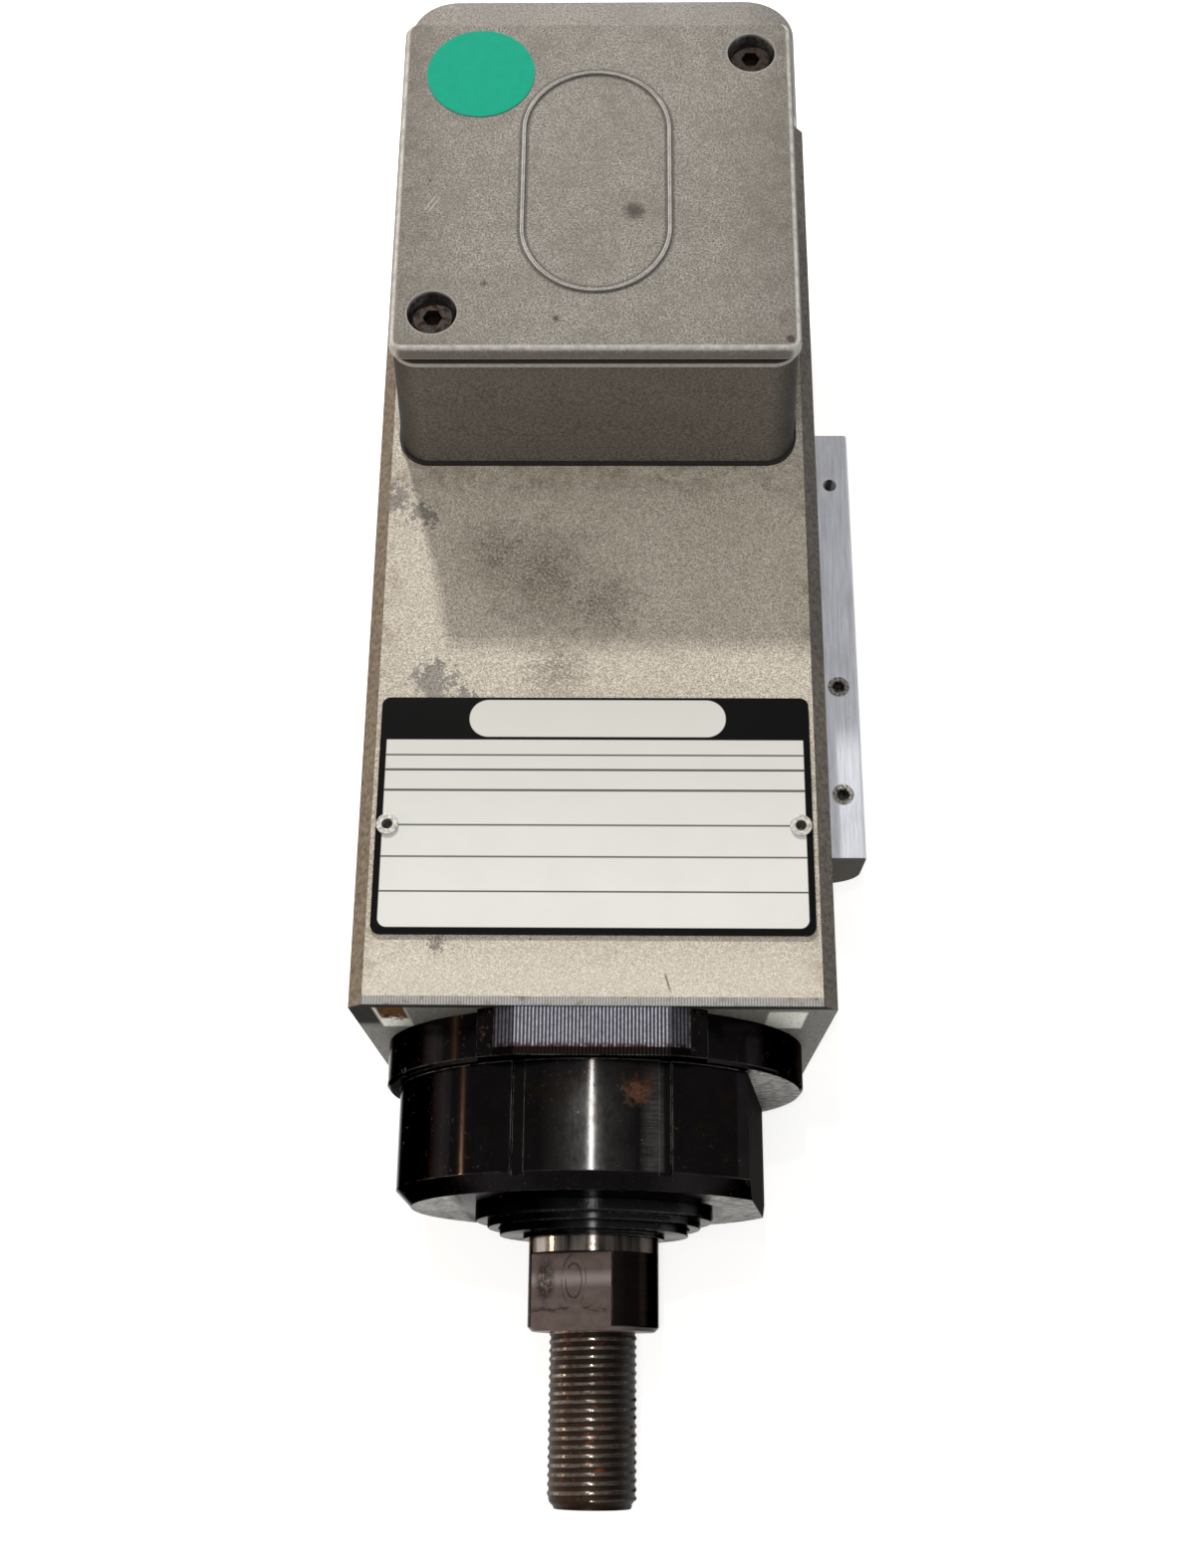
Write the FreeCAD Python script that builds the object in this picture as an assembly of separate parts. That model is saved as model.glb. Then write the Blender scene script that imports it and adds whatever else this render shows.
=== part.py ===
import FreeCAD, Part
import math
import os

from FreeCAD import Vector

# Motor spindle: a three-phase high-frequency motor in a square housing, with a threaded tool end.
# Millimetres. The shaft lies on the Y axis, the tool seats on the collar's front face at y = 0,
# the thread points to -Y, the motor lies to +Y and the terminal box stands on +Z.

# Fits and clearances
seat_gap = 0.02
running_gap = 0.05
screw_gap = 0.25
air_gap = 0.4
labyrinth_gap = 0.35
end_gap = 0.5
insulation_gap = 0.3

# Tool end of the shaft
thread_radius = 8.0
thread_length = 29.8
thread_chamfer = 1.2
collar_radius = 12.1
collar_length = 16.3
collar_chamfer = 0.8
flat_across = 17.0
flat_length = 13.5
flat_turn = 28.0

# Shaft behind the collar
journal_radius = 10.0
rear_journal_radius = 8.5
fan_seat_radius = 7.0
journal_shoulder = 0.8

# Housing
housing_length = 188.0
housing_top_wall = 4.0
housing_side_wall = 6.5
housing_front_wall = 8.0
edge_bevel = 2.7

# Nose
nose_front_y = 21.7
nose_length = 30.3
nose_chamfer = 2.9
flange_inset = 0.3
flange_ledge = 2.5
flange_thickness = 8.5
flange_chamfer = 0.6
lug_reach = 2.3
lug_half_width = 20.0
lug_recess = 0.2
spigot_length = 2.5
spigot_radius = 27.0
front_wall = 4.8
nose_flat_depth = 6.5
nose_flat_turn = 8.0
nose_groove_width = 2.3
nose_groove_depth = 0.6
nose_groove_angle = 20.0

# Labyrinth seal at the nose
seal_disc_radius = 22.4
seal_disc_proud = 1.1
seal_disc_ledge = 2.0
seal_plug_radius = 18.5
slinger_radius = 17.6
slinger_thickness = 1.6
slinger_setback = 0.7
slinger_hub_radius = 13.2
slinger_skirt_wall = 1.8
slinger_skirt_length = 3.0

# Bearings
front_bearing_radius = 21.0
front_bearing_width = 12.0
front_ball_radius = 3.1
front_ball_count = 9
spacer_length = 4.0
spacer_wall = 2.5
rear_bearing_radius = 20.0
rear_bearing_width = 12.0
rear_ball_radius = 3.3
rear_ball_count = 9
ball_gap = 0.06
ring_share = 0.3
cage_thickness = 2.0
cage_lip = 0.8
locknut_radius = 16.0
locknut_length = 7.0
locknut_slot_count = 4
locknut_slot_width = 5.0
locknut_slot_depth = 2.0
retainer_thickness = 3.0
retainer_bore_radius = 17.5

# Rotor and stator
winding_front_room = 11.0
winding_rear_room = 19.0
rotor_radius = 22.4
rotor_ring_length = 8.0
rotor_ring_wall = 7.0
rotor_bar_count = 16
rotor_bar_width = 2.0
rotor_bar_depth = 5.0
rotor_bar_inset = 1.2
stator_slot_count = 18
stator_slot_width = 4.6
stator_slot_opening = 1.4
stator_tooth_tip = 1.8
stator_slot_depth = 7.4
stator_back_iron = 3.98
winding_reach = 17.0
winding_head_wall = 8.6
winding_head_round = 2.15

# Rear shield
shield_thickness = 8.0
shield_spigot = 4.0
shield_boss_radius = 25.0
shield_boss_length = 12.0
spring_room = 2.2
spring_thickness = 0.5
spring_waves = 3
spring_inner_share = 0.82
spring_outer_share = 0.97
spring_curve_points = 24
shaft_passage_gap = 0.4
shield_bolt_inset_x = 7.0
shield_bolt_inset_z = 19.0

# Fan and its cover
fan_tip_room = 7.0
fan_hub_radius = 12.0
fan_length = 14.5
fan_disc_thickness = 2.0
fan_blade_count = 8
fan_blade_thickness = 2.0
fan_blade_height = 11.0
fan_setback = 2.5
circlip_thickness = 1.0
circlip_groove_depth = 0.5
circlip_rim = 2.0
circlip_gap_width = 5.0
cover_length = 24.6
cover_wall = 2.0
cover_corner_radius = 12.0
cover_pillar_radius = 4.6
cover_pillar_inset = 8.0
grille_ring_count = 3
grille_slot_width = 4.0
grille_rib_width = 4.0
grille_spoke_count = 6
grille_spoke_width = 5.0
grille_hub_radius = 10.0
side_slot_count = 3
side_slot_length = 40.0
side_slot_width = 3.0
side_slot_pitch = 6.0

# Terminal box
box_rear_offset = 44.2
box_side_inset = 4.5
box_base_length = 75.0
box_draft_x = 2.0
box_draft_y = 1.4
box_corner_radius = 6.0
box_height = 31.4
box_rim_height = 1.6
box_rim_proud = 0.35
box_wall = 4.0
box_floor = 3.5
box_gasket_thickness = 1.2
lid_gasket_thickness = 0.7
box_gasket_proud = 0.4
lid_gasket_inset = 0.6
lid_overlap = 0.2
lid_thickness = 2.9
lid_edge_radius = 1.4
lid_corner_radius = 5.0
box_room_corner_radius = 4.0
lid_screw_inset = 7.6
lid_recess_radius = 4.4
lid_recess_depth = 5.6
lid_boss_radius = 6.2
lid_boss_length = 5.2
lid_bead_width = 27.5
lid_bead_length = 49.0
lid_bead_rim = 1.0
lid_bead_height = 0.7
lid_boss_gap = 0.35
post_radius = 5.2
lead_hole_radius = 8.0
lead_hole_offset_y = 23.0
box_screw_offset_x = 24.0
box_screw_offset_y = 26.0
box_screw_offset_inner_y = 8.0
cable_entry_radius = 9.2
cable_boss_radius = 12.5
cable_boss_length = 2.0
cable_entry_height = 15.0

# Terminal block
block_length = 40.0
block_width = 24.0
block_height = 10.0
block_rib = 1.6
block_rib_height = 4.0
block_offset_y = -8.0
stud_pitch_x = 14.0
stud_pitch_y = 12.0
stud_radius = 2.0
stud_height = 11.0
stud_nut_height = 3.2
stud_nut_across = 7.0

# Name plate and its rivets
plate_side_inset = 3.6
plate_length = 44.6
plate_thickness = 0.8
plate_front_offset = 12.4
plate_corner_radius = 1.6
rivet_inset = 2.1
rivet_offset_y = 20.0
rivet_head_radius = 1.95
rivet_head_height = 0.5
rivet_bore_radius = 0.95
rivet_shank_radius = 1.45
rivet_length = 4.0

# Side bar
bar_thickness = 7.6
bar_height = 16.5
bar_round = 7.0
bar_length = 89.5
bar_front_offset = 30.5
bar_top_z = 28.0
bar_edge = 0.5
bar_hole_radius = 1.3
bar_hole_depth = 9.0
bar_hole_front_offset = 12.4
bar_hole_pitch = 21.9
bar_hole_steps = (0, 1, 3)
bar_screw_inset = 22.0
bar_screw_drop = 4.6
grub_length = 6.0
grub_socket_depth = 2.0

# Screws: shank radius, head radius, head height and hexagon socket across flats
m3_screw = (1.5, 2.75, 3.0, 2.5)
m4_screw = (2.0, 3.5, 4.0, 3.0)
socket_share = 0.5
nose_screw_count = 4
nose_screw_angle = 45.0
nose_screw_grip = 8.0
retainer_screw_count = 3
retainer_screw_angle = 90.0
retainer_screw_grip = 6.0
shield_screw_grip = 12.0
cover_screw_grip = 6.0
box_screw_grip = 6.0
lid_screw_grip = 8.0
bar_screw_grip = 7.0
foot_hole_radius = 2.5
foot_hole_depth = 12.0
foot_spacing_x = 60.0
foot_spacing_y = 120.0
hole_runout = 1.0

# Sizes that follow from the stator outwards
stator_slot_floor = rotor_radius + air_gap + stator_tooth_tip + stator_slot_depth
housing_bore_radius = stator_slot_floor + stator_back_iron + seat_gap
half_width = housing_bore_radius + housing_side_wall
half_height = housing_bore_radius + housing_top_wall
housing_width = 2 * half_width
housing_height = 2 * half_height
flange_radius = half_height - flange_inset
nose_radius = flange_radius - flange_ledge
lug_radius = flange_radius + lug_reach
nose_flat_distance = nose_radius - nose_flat_depth
nose_screw_pcd_radius = (spigot_radius + housing_bore_radius) / 2
fan_radius = half_height - fan_tip_room
box_base_width = housing_width - 2 * box_side_inset
box_top_width = box_base_width - 2 * box_draft_x
box_top_length = box_base_length - 2 * box_draft_y
lid_width = box_top_width + 2 * lid_overlap
lid_length = box_top_length + 2 * lid_overlap
lid_screw_offset = lid_width / 2 - lid_screw_inset
plate_width = housing_width - 2 * plate_side_inset
rivet_offset_x = plate_width / 2 - rivet_inset

# Stations along the shaft and levels above it
flange_rear_y = nose_front_y + nose_length
housing_front_y = flange_rear_y
housing_rear_y = housing_front_y + housing_length
front_wall_end_y = housing_front_y + housing_front_wall
first_bearing_y = nose_front_y + front_wall
second_bearing_y = first_bearing_y + front_bearing_width + spacer_length
locknut_y = second_bearing_y + front_bearing_width
spigot_end_y = housing_front_y + spigot_length
stack_start_y = front_wall_end_y + m4_screw[2] + winding_front_room + winding_reach
stack_end_y = housing_rear_y - shield_boss_length - winding_rear_room - winding_reach
shield_rear_y = housing_rear_y + shield_thickness
rear_bearing_y = housing_rear_y - shield_boss_length + spring_room
rear_bearing_end_y = rear_bearing_y + rear_bearing_width
spring_end_y = rear_bearing_end_y + spring_room
fan_y = shield_rear_y + fan_setback
circlip_y = fan_y + fan_length
cover_end_y = shield_rear_y + cover_length
box_centre_y = housing_rear_y - box_rear_offset
box_base_z = half_height + box_gasket_thickness
box_top_z = box_base_z + box_height
lid_base_z = box_top_z + lid_gasket_thickness
lid_top_z = lid_base_z + lid_thickness
lid_recess_floor_z = lid_top_z - lid_recess_depth
lid_boss_floor_z = lid_base_z - lid_boss_length
block_floor_z = box_base_z + box_floor
block_top_z = block_floor_z + block_height
ALONG = Vector(0, 1, 0)
UP = Vector(0, 0, 1)
ACROSS = Vector(1, 0, 0)
PAD = 1.0
TINY = 1e-3


def rod(radius, start, end, x=0.0, z=0.0):
    """Cylinder along Y from one station to another."""
    return Part.makeCylinder(radius, end - start, Vector(x, start, z), ALONG)


def ring(outer, inner, start, end):
    """Tube about the shaft axis."""
    return rod(outer, start, end).cut(rod(inner, start - PAD, end + PAD))


def post(radius, low, high, x, y):
    """Cylinder along Z."""
    return Part.makeCylinder(radius, high - low, Vector(x, y, low), UP)


def block(x0, x1, y0, y1, z0, z1):
    """Box between six limits."""
    return Part.makeBox(x1 - x0, y1 - y0, z1 - z0, Vector(x0, y0, z0))


def lathe(profile):
    """Solid turned about the Y axis from (radius, station) points."""
    points = [Vector(radius, station, 0) for radius, station in profile]
    face = Part.Face(Part.makePolygon(points + [points[0]]))
    return face.revolve(Vector(0, 0, 0), ALONG, 360)


def edges_along(shape, direction):
    """Straight edges that run parallel to a direction."""
    found = []
    for edge in shape.Edges:
        start, end = edge.Vertexes[0].Point, edge.Vertexes[-1].Point
        span = end - start
        if span.Length > 0 and abs(span.dot(direction)) > (1 - TINY) * span.Length:
            found.append(edge)
    return found


def rounded_bar(width, height, radius, start, end):
    """Rectangular bar along Y with rounded long edges."""
    bar = block(-width / 2, width / 2, start, end, -height / 2, height / 2)
    return bar.makeFillet(radius, edges_along(bar, ALONG))


def rounded_slab(width, length, radius, low, high, x, y):
    """Rectangular slab with rounded upright edges, centred at x, y."""
    slab = block(x - width / 2, x + width / 2, y - length / 2, y + length / 2, low, high)
    return slab.makeFillet(radius, edges_along(slab, UP))


def rounded_wire(width, length, radius, z, x, y):
    """Outline of a rounded rectangle at level z."""
    slab = rounded_slab(width, length, radius, z, z + PAD, x, y)
    lowest = [face for face in slab.Faces if abs(face.CenterOfMass.z - z) < TINY]
    return lowest[0].OuterWire


def hexagon(across, start, end):
    """Hexagonal prism along Y, by the distance across its flats."""
    radius = across / math.sqrt(3)
    turns = [math.radians(60 * step) for step in range(7)]
    points = [Vector(radius * math.cos(a), start, radius * math.sin(a)) for a in turns]
    return Part.Face(Part.makePolygon(points)).extrude(ALONG * (end - start))


def cap_screw(size, length):
    """Socket head cap screw along Y: its head rises from y = 0 to -Y, its shank runs to +Y."""
    shank_radius, head_radius, head_height, across = size
    head = rod(head_radius, -head_height, 0)
    shank = rod(shank_radius, 0, length)
    socket = hexagon(across, -head_height, -head_height * (1 - socket_share))
    return head.fuse(shank).removeSplitter().cut(socket)


def aimed(shape, x, y, z, direction):
    """Copy of a shape drawn along +Y, turned to a direction and put at a point."""
    turn = FreeCAD.Rotation(ALONG, direction)
    placed = shape.copy()
    placed.Placement = FreeCAD.Placement(Vector(x, y, z), turn)
    return placed


def around(count, radius, first_angle=0.0):
    """Points x, z spaced evenly on a circle about the shaft axis."""
    angles = [math.radians(first_angle + 360 * step / count) for step in range(count)]
    return [(radius * math.cos(a), radius * math.sin(a)) for a in angles]


def turned(shape, angle):
    """Copy of a shape turned about the shaft axis, in degrees."""
    placed = shape.copy()
    placed.rotate(Vector(0, 0, 0), ALONG, -angle)
    return placed


def write(name, solids):
    """Save one node; several solids stay separate in it."""
    shape = solids[0] if len(solids) == 1 else Part.makeCompound(solids)
    shape.exportStep("parts/" + name + ".step")


nose_screw_points = around(nose_screw_count, nose_screw_pcd_radius, nose_screw_angle)
retainer_screw_radius = (front_bearing_radius + spigot_radius) / 2
retainer_screw_points = around(retainer_screw_count, retainer_screw_radius, retainer_screw_angle)
shield_bolt_x = half_width - shield_bolt_inset_x
shield_bolt_z = half_height - shield_bolt_inset_z
cover_pillar_x = half_width - cover_pillar_inset
cover_pillar_z = half_height - cover_pillar_inset
shield_bolt_points = [(sx * shield_bolt_x, sz * shield_bolt_z) for sx in (-1, 1) for sz in (-1, 1)]
cover_pillar_points = [(sx * cover_pillar_x, sz * cover_pillar_z) for sx in (-1, 1) for sz in (-1, 1)]
box_screw_points = [
    (sign * box_screw_offset_x, box_centre_y + sign * offset)
    for sign in (-1, 1)
    for offset in (-box_screw_offset_y, box_screw_offset_inner_y)
]
lid_screw_points = [
    (sign * lid_screw_offset, box_centre_y + sign * lid_screw_offset) for sign in (-1, 1)
]
plate_centre_y = housing_front_y + plate_front_offset + plate_length / 2
rivet_y = housing_front_y + plate_front_offset + rivet_offset_y
bar_front_y = housing_front_y + bar_front_offset
bar_hole_ys = [bar_front_y + bar_hole_front_offset + bar_hole_pitch * step for step in bar_hole_steps]
bar_screw_ys = [bar_front_y + bar_screw_inset, bar_front_y + bar_length - bar_screw_inset]
bar_centre_x = half_width + bar_thickness / 2
bar_screw_z = bar_top_z - bar_screw_drop
housing_centre_y = (housing_front_y + housing_rear_y) / 2
foot_points = [
    (sx * foot_spacing_x / 2, housing_centre_y + sy * foot_spacing_y / 2)
    for sx in (-1, 1)
    for sy in (-1, 1)
]
lead_hole_y = box_centre_y + lead_hole_offset_y


def motor_housing():
    """Square light-alloy housing, bored through for the stator, with a front wall for the nose."""
    body = block(-half_width, half_width, housing_front_y, housing_rear_y, -half_height, half_height)
    body = body.makeChamfer(edge_bevel, edges_along(body, ALONG))
    cuts = [
        rod(housing_bore_radius, front_wall_end_y, housing_rear_y + PAD),
        rod(spigot_radius + seat_gap, housing_front_y - PAD, housing_rear_y),
        post(lead_hole_radius, 0, half_height + PAD, 0, lead_hole_y),
    ]
    tapped = m4_screw[0] + seat_gap
    for x, z in nose_screw_points:
        cuts.append(rod(m4_screw[0] + screw_gap, housing_front_y - PAD, front_wall_end_y + PAD, x, z))
    shield_hole_start = housing_rear_y - shield_screw_grip - hole_runout
    for x, z in shield_bolt_points:
        cuts.append(rod(tapped, shield_hole_start, housing_rear_y + PAD, x, z))
    for x, y in box_screw_points:
        cuts.append(post(tapped, half_height - box_screw_grip - hole_runout, half_height + PAD, x, y))
    rivet_floor = half_height - rivet_length - hole_runout
    for x in (-rivet_offset_x, rivet_offset_x):
        cuts.append(post(rivet_shank_radius + seat_gap, rivet_floor, half_height + PAD, x, rivet_y))
    for y in bar_screw_ys:
        start = Vector(half_width - bar_screw_grip - hole_runout, y, bar_screw_z)
        bore = m3_screw[0] + seat_gap
        cuts.append(Part.makeCylinder(bore, bar_screw_grip + hole_runout + PAD, start, ACROSS))
    for x, y in foot_points:
        cuts.append(post(foot_hole_radius, -half_height - PAD, -half_height + foot_hole_depth, x, y))
    return body.cut(cuts)


def nose_housing():
    """Blackened steel nose: flange with its milled lug, barrel, and the front bearings' seat."""
    barrel = lathe([
        (0, nose_front_y),
        (nose_radius - nose_chamfer, nose_front_y),
        (nose_radius, nose_front_y + nose_chamfer),
        (nose_radius, flange_rear_y - flange_thickness / 2),
        (0, flange_rear_y - flange_thickness / 2),
    ])
    start, far = nose_front_y - PAD, 2 * nose_radius
    flat = block(nose_flat_distance, far, start, flange_rear_y, -far, far)
    barrel = barrel.cut(turned(flat, nose_flat_turn))
    half = nose_groove_width / 2
    groove = block(-half, half, start, flange_rear_y, nose_radius - nose_groove_depth, far)
    for angle in (-nose_groove_angle, nose_groove_angle):
        barrel = barrel.cut(turned(groove, angle))
    flange_front_y = flange_rear_y - flange_thickness
    flange = lathe([
        (0, flange_front_y),
        (flange_radius - flange_chamfer, flange_front_y),
        (flange_radius, flange_front_y + flange_chamfer),
        (flange_radius, flange_rear_y),
        (spigot_radius, flange_rear_y),
        (spigot_radius, spigot_end_y),
        (0, spigot_end_y),
    ])
    lug_top = half_height - lug_recess
    lug_bound = block(-lug_half_width, lug_half_width, flange_front_y, flange_rear_y, 0, lug_top)
    lug = rod(lug_radius, flange_front_y, flange_rear_y).common(lug_bound)
    nose = barrel.fuse([flange, lug]).removeSplitter()
    cuts = [
        rod(front_bearing_radius + seat_gap, first_bearing_y, spigot_end_y + PAD),
        rod(seal_plug_radius + seat_gap, nose_front_y - PAD, first_bearing_y + PAD),
    ]
    for x, z in nose_screw_points:
        depth = nose_screw_grip + hole_runout
        cuts.append(rod(m4_screw[0] + seat_gap, flange_rear_y - depth, flange_rear_y + PAD, x, z))
    for x, z in retainer_screw_points:
        depth = retainer_screw_grip + hole_runout
        cuts.append(rod(m3_screw[0] + seat_gap, spigot_end_y - depth, spigot_end_y + PAD, x, z))
    return nose.cut(cuts)


def nose_screws():
    """Cap screws from inside the housing, through its front wall into the nose's flange."""
    screw = cap_screw(m4_screw, housing_front_wall + nose_screw_grip)
    return [aimed(screw, x, front_wall_end_y, z, -ALONG) for x, z in nose_screw_points]


def labyrinth_cover():
    """Fixed half of the labyrinth: a stepped disc pressed into the nose, grooved for the skirt."""
    front = nose_front_y - seal_disc_proud
    step = front + seal_disc_proud / 2
    bore = slinger_hub_radius + labyrinth_gap
    body = lathe([
        (bore, front),
        (seal_disc_radius - seal_disc_ledge, front),
        (seal_disc_radius - seal_disc_ledge, step),
        (seal_disc_radius, step),
        (seal_disc_radius, nose_front_y),
        (seal_plug_radius, nose_front_y),
        (seal_plug_radius, first_bearing_y - end_gap),
        (bore, first_bearing_y - end_gap),
    ])
    groove = ring(
        slinger_radius + labyrinth_gap,
        slinger_radius - slinger_skirt_wall - labyrinth_gap,
        front - PAD,
        front + slinger_skirt_length + end_gap,
    )
    return body.cut(groove)


def labyrinth_ring():
    """Turning half of the labyrinth: a thin disc with a skirt, on a hub that backs the bearing."""
    front = collar_length
    disc = front + slinger_setback
    disc_end = disc + slinger_thickness
    skirt_end = nose_front_y - seal_disc_proud + slinger_skirt_length
    return lathe([
        (journal_radius + seat_gap, front),
        (slinger_hub_radius, front),
        (slinger_hub_radius, disc),
        (slinger_radius, disc),
        (slinger_radius, skirt_end),
        (slinger_radius - slinger_skirt_wall, skirt_end),
        (slinger_radius - slinger_skirt_wall, disc_end),
        (slinger_hub_radius, disc_end),
        (slinger_hub_radius, first_bearing_y),
        (journal_radius + seat_gap, first_bearing_y),
    ])


def spindle_shaft():
    """One-piece shaft: threaded end, collar with two spanner flats, journals and fan seat."""
    shoulder_y = rear_bearing_y
    end_y = circlip_y + circlip_thickness + circlip_rim
    clip_floor = fan_seat_radius - circlip_groove_depth
    body = lathe([
        (0, -thread_length),
        (thread_radius - thread_chamfer, -thread_length),
        (thread_radius, -thread_length + thread_chamfer),
        (thread_radius, 0),
        (collar_radius - collar_chamfer, 0),
        (collar_radius, collar_chamfer),
        (collar_radius, collar_length),
        (journal_radius, collar_length),
        (journal_radius, shoulder_y),
        (rear_journal_radius, shoulder_y),
        (rear_journal_radius, fan_y),
        (fan_seat_radius, fan_y),
        (fan_seat_radius, circlip_y),
        (clip_floor, circlip_y),
        (clip_floor, circlip_y + circlip_thickness),
        (fan_seat_radius, circlip_y + circlip_thickness),
        (fan_seat_radius - journal_shoulder, end_y),
        (0, end_y),
    ])
    far = 2 * collar_radius
    flat = block(-far, far, -PAD / 2, flat_length, flat_across / 2, far)
    flat = flat.cut(rod(thread_radius, -PAD, flat_length))
    for side in (0, 180):
        body = body.cut(turned(flat, flat_turn + side))
    return body


def bearing(start, bore_radius, outer_radius, width, ball_radius, ball_count):
    """Deep-groove ball bearing: inner ring, outer ring and the balls held in their cage."""
    end = start + width
    middle = (start + end) / 2
    pitch_radius = (bore_radius + outer_radius) / 2
    ring_wall = (outer_radius - bore_radius) * ring_share
    track = Part.makeTorus(pitch_radius, ball_radius + ball_gap, Vector(0, middle, 0), ALONG)
    inner = ring(bore_radius + ring_wall, bore_radius + seat_gap, start, end).cut(track)
    outer = ring(outer_radius, outer_radius - ring_wall, start, end).cut(track)
    half = ball_radius + cage_lip
    wall = cage_thickness / 2
    cage = ring(pitch_radius + wall, pitch_radius - wall, middle - half, middle + half)
    points = around(ball_count, pitch_radius)
    balls = [Part.makeSphere(ball_radius, Vector(x, middle, z), ALONG) for x, z in points]
    return inner, outer, cage.fuse(balls)


def inner_spacer():
    """Sleeve between the two front bearings' inner rings."""
    inner = journal_radius + seat_gap
    return ring(journal_radius + spacer_wall, inner, second_bearing_y - spacer_length, second_bearing_y)


def outer_spacer():
    """Sleeve between the two front bearings' outer rings."""
    outer = front_bearing_radius
    return ring(outer, outer - spacer_wall, second_bearing_y - spacer_length, second_bearing_y)


def bearing_locknut():
    """Slotted round nut that clamps the inner rings against the collar."""
    end_y = locknut_y + locknut_length
    nut = ring(locknut_radius, journal_radius + seat_gap, locknut_y, end_y)
    floor, half = locknut_radius - locknut_slot_depth, locknut_slot_width / 2
    slot = block(-half, half, locknut_y - PAD, end_y + PAD, floor, locknut_radius + PAD)
    for step in range(locknut_slot_count):
        nut = nut.cut(turned(slot, 360 * step / locknut_slot_count))
    return nut


def bearing_retainer():
    """Ring screwed to the nose's spigot, which holds the outer rings."""
    end = spigot_end_y + retainer_thickness
    plate = ring(spigot_radius, retainer_bore_radius, spigot_end_y, end)
    for x, z in retainer_screw_points:
        plate = plate.cut(rod(m3_screw[0] + screw_gap, spigot_end_y - PAD, end + PAD, x, z))
    return plate


def retainer_screws():
    """Short cap screws that hold the retainer on the spigot."""
    screw = cap_screw(m3_screw, retainer_thickness + retainer_screw_grip)
    y = spigot_end_y + retainer_thickness
    return [aimed(screw, x, y, z, -ALONG) for x, z in retainer_screw_points]


def rotor_bar_boxes(grow):
    """Boxes for the cage bars, grown all round for their slots."""
    high = rotor_radius - rotor_bar_inset
    half = rotor_bar_width / 2 + grow
    low = high - rotor_bar_depth
    bar = block(-half, half, stack_start_y - PAD, stack_end_y + PAD, low - grow, high + grow)
    return [turned(bar, 360 * step / rotor_bar_count) for step in range(rotor_bar_count)]


def rotor_core():
    """Lamination stack on the shaft, slotted for the cage bars."""
    core = ring(rotor_radius, journal_radius + seat_gap, stack_start_y, stack_end_y)
    return core.cut(rotor_bar_boxes(seat_gap))


def rotor_cage():
    """Die-cast cage: a ring at each end of the stack, joined by the bars."""
    high = rotor_radius - rotor_bar_inset + seat_gap
    rings = []
    for start in (stack_start_y - rotor_ring_length, stack_end_y):
        rings.append(ring(high, high - rotor_ring_wall, start, start + rotor_ring_length))
    return rings[0].fuse([rings[1]] + rotor_bar_boxes(0)).removeSplitter()


def stator_slot(width, low, high):
    """Box for one slot, above the shaft."""
    return block(-width / 2, width / 2, stack_start_y - PAD, stack_end_y + PAD, low, high)


def stator_core():
    """Lamination stack pressed into the housing, with semi-closed slots."""
    bore = rotor_radius + air_gap
    core = ring(housing_bore_radius - seat_gap, bore, stack_start_y, stack_end_y)
    floor = bore + stator_tooth_tip
    slot = stator_slot(stator_slot_width, floor, floor + stator_slot_depth)
    mouth = stator_slot(stator_slot_opening, bore - PAD, floor + PAD)
    tool = slot.fuse(mouth)
    return core.cut([turned(tool, 360 * step / stator_slot_count) for step in range(stator_slot_count)])


def stator_winding():
    """Copper winding: coil sides in every slot, joined by the bound heads at both ends."""
    inner = rotor_radius + air_gap + stator_tooth_tip + insulation_gap
    width = stator_slot_width - 2 * insulation_gap
    depth = stator_slot_depth - 2 * insulation_gap
    bar = block(-width / 2, width / 2, stack_start_y - PAD, stack_end_y + PAD, inner, inner + depth)
    shapes = [turned(bar, 360 * step / stator_slot_count) for step in range(stator_slot_count)]
    low = inner - insulation_gap
    high = low + winding_head_wall
    near = insulation_gap
    for side, base in ((-1, stack_start_y), (1, stack_end_y)):
        shapes.append(lathe([
            (low, base + side * near),
            (high, base + side * near),
            (high, base + side * (winding_reach - winding_head_round)),
            (high - winding_head_round, base + side * winding_reach),
            (low + winding_head_round, base + side * winding_reach),
            (low, base + side * (winding_reach - winding_head_round)),
        ]))
    return shapes[0].fuse(shapes[1:])


def wave_spring():
    """Wavy steel washer that preloads the rear bearing."""
    height = (spring_room - spring_thickness - 2 * running_gap) / 2
    middle = rear_bearing_end_y + spring_room / 2 - spring_thickness / 2
    edges = []
    for share in (spring_inner_share, spring_outer_share):
        radius = rear_bearing_radius * share
        points = []
        for step in range(spring_curve_points):
            angle = 2 * math.pi * step / spring_curve_points
            lift = height * math.sin(spring_waves * angle)
            points.append(Vector(radius * math.cos(angle), middle + lift, radius * math.sin(angle)))
        curve = Part.BSplineCurve()
        curve.interpolate(points, PeriodicFlag=True)
        edges.append(curve.toShape())
    return Part.makeRuledSurface(edges[0], edges[1]).extrude(ALONG * spring_thickness)


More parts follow.
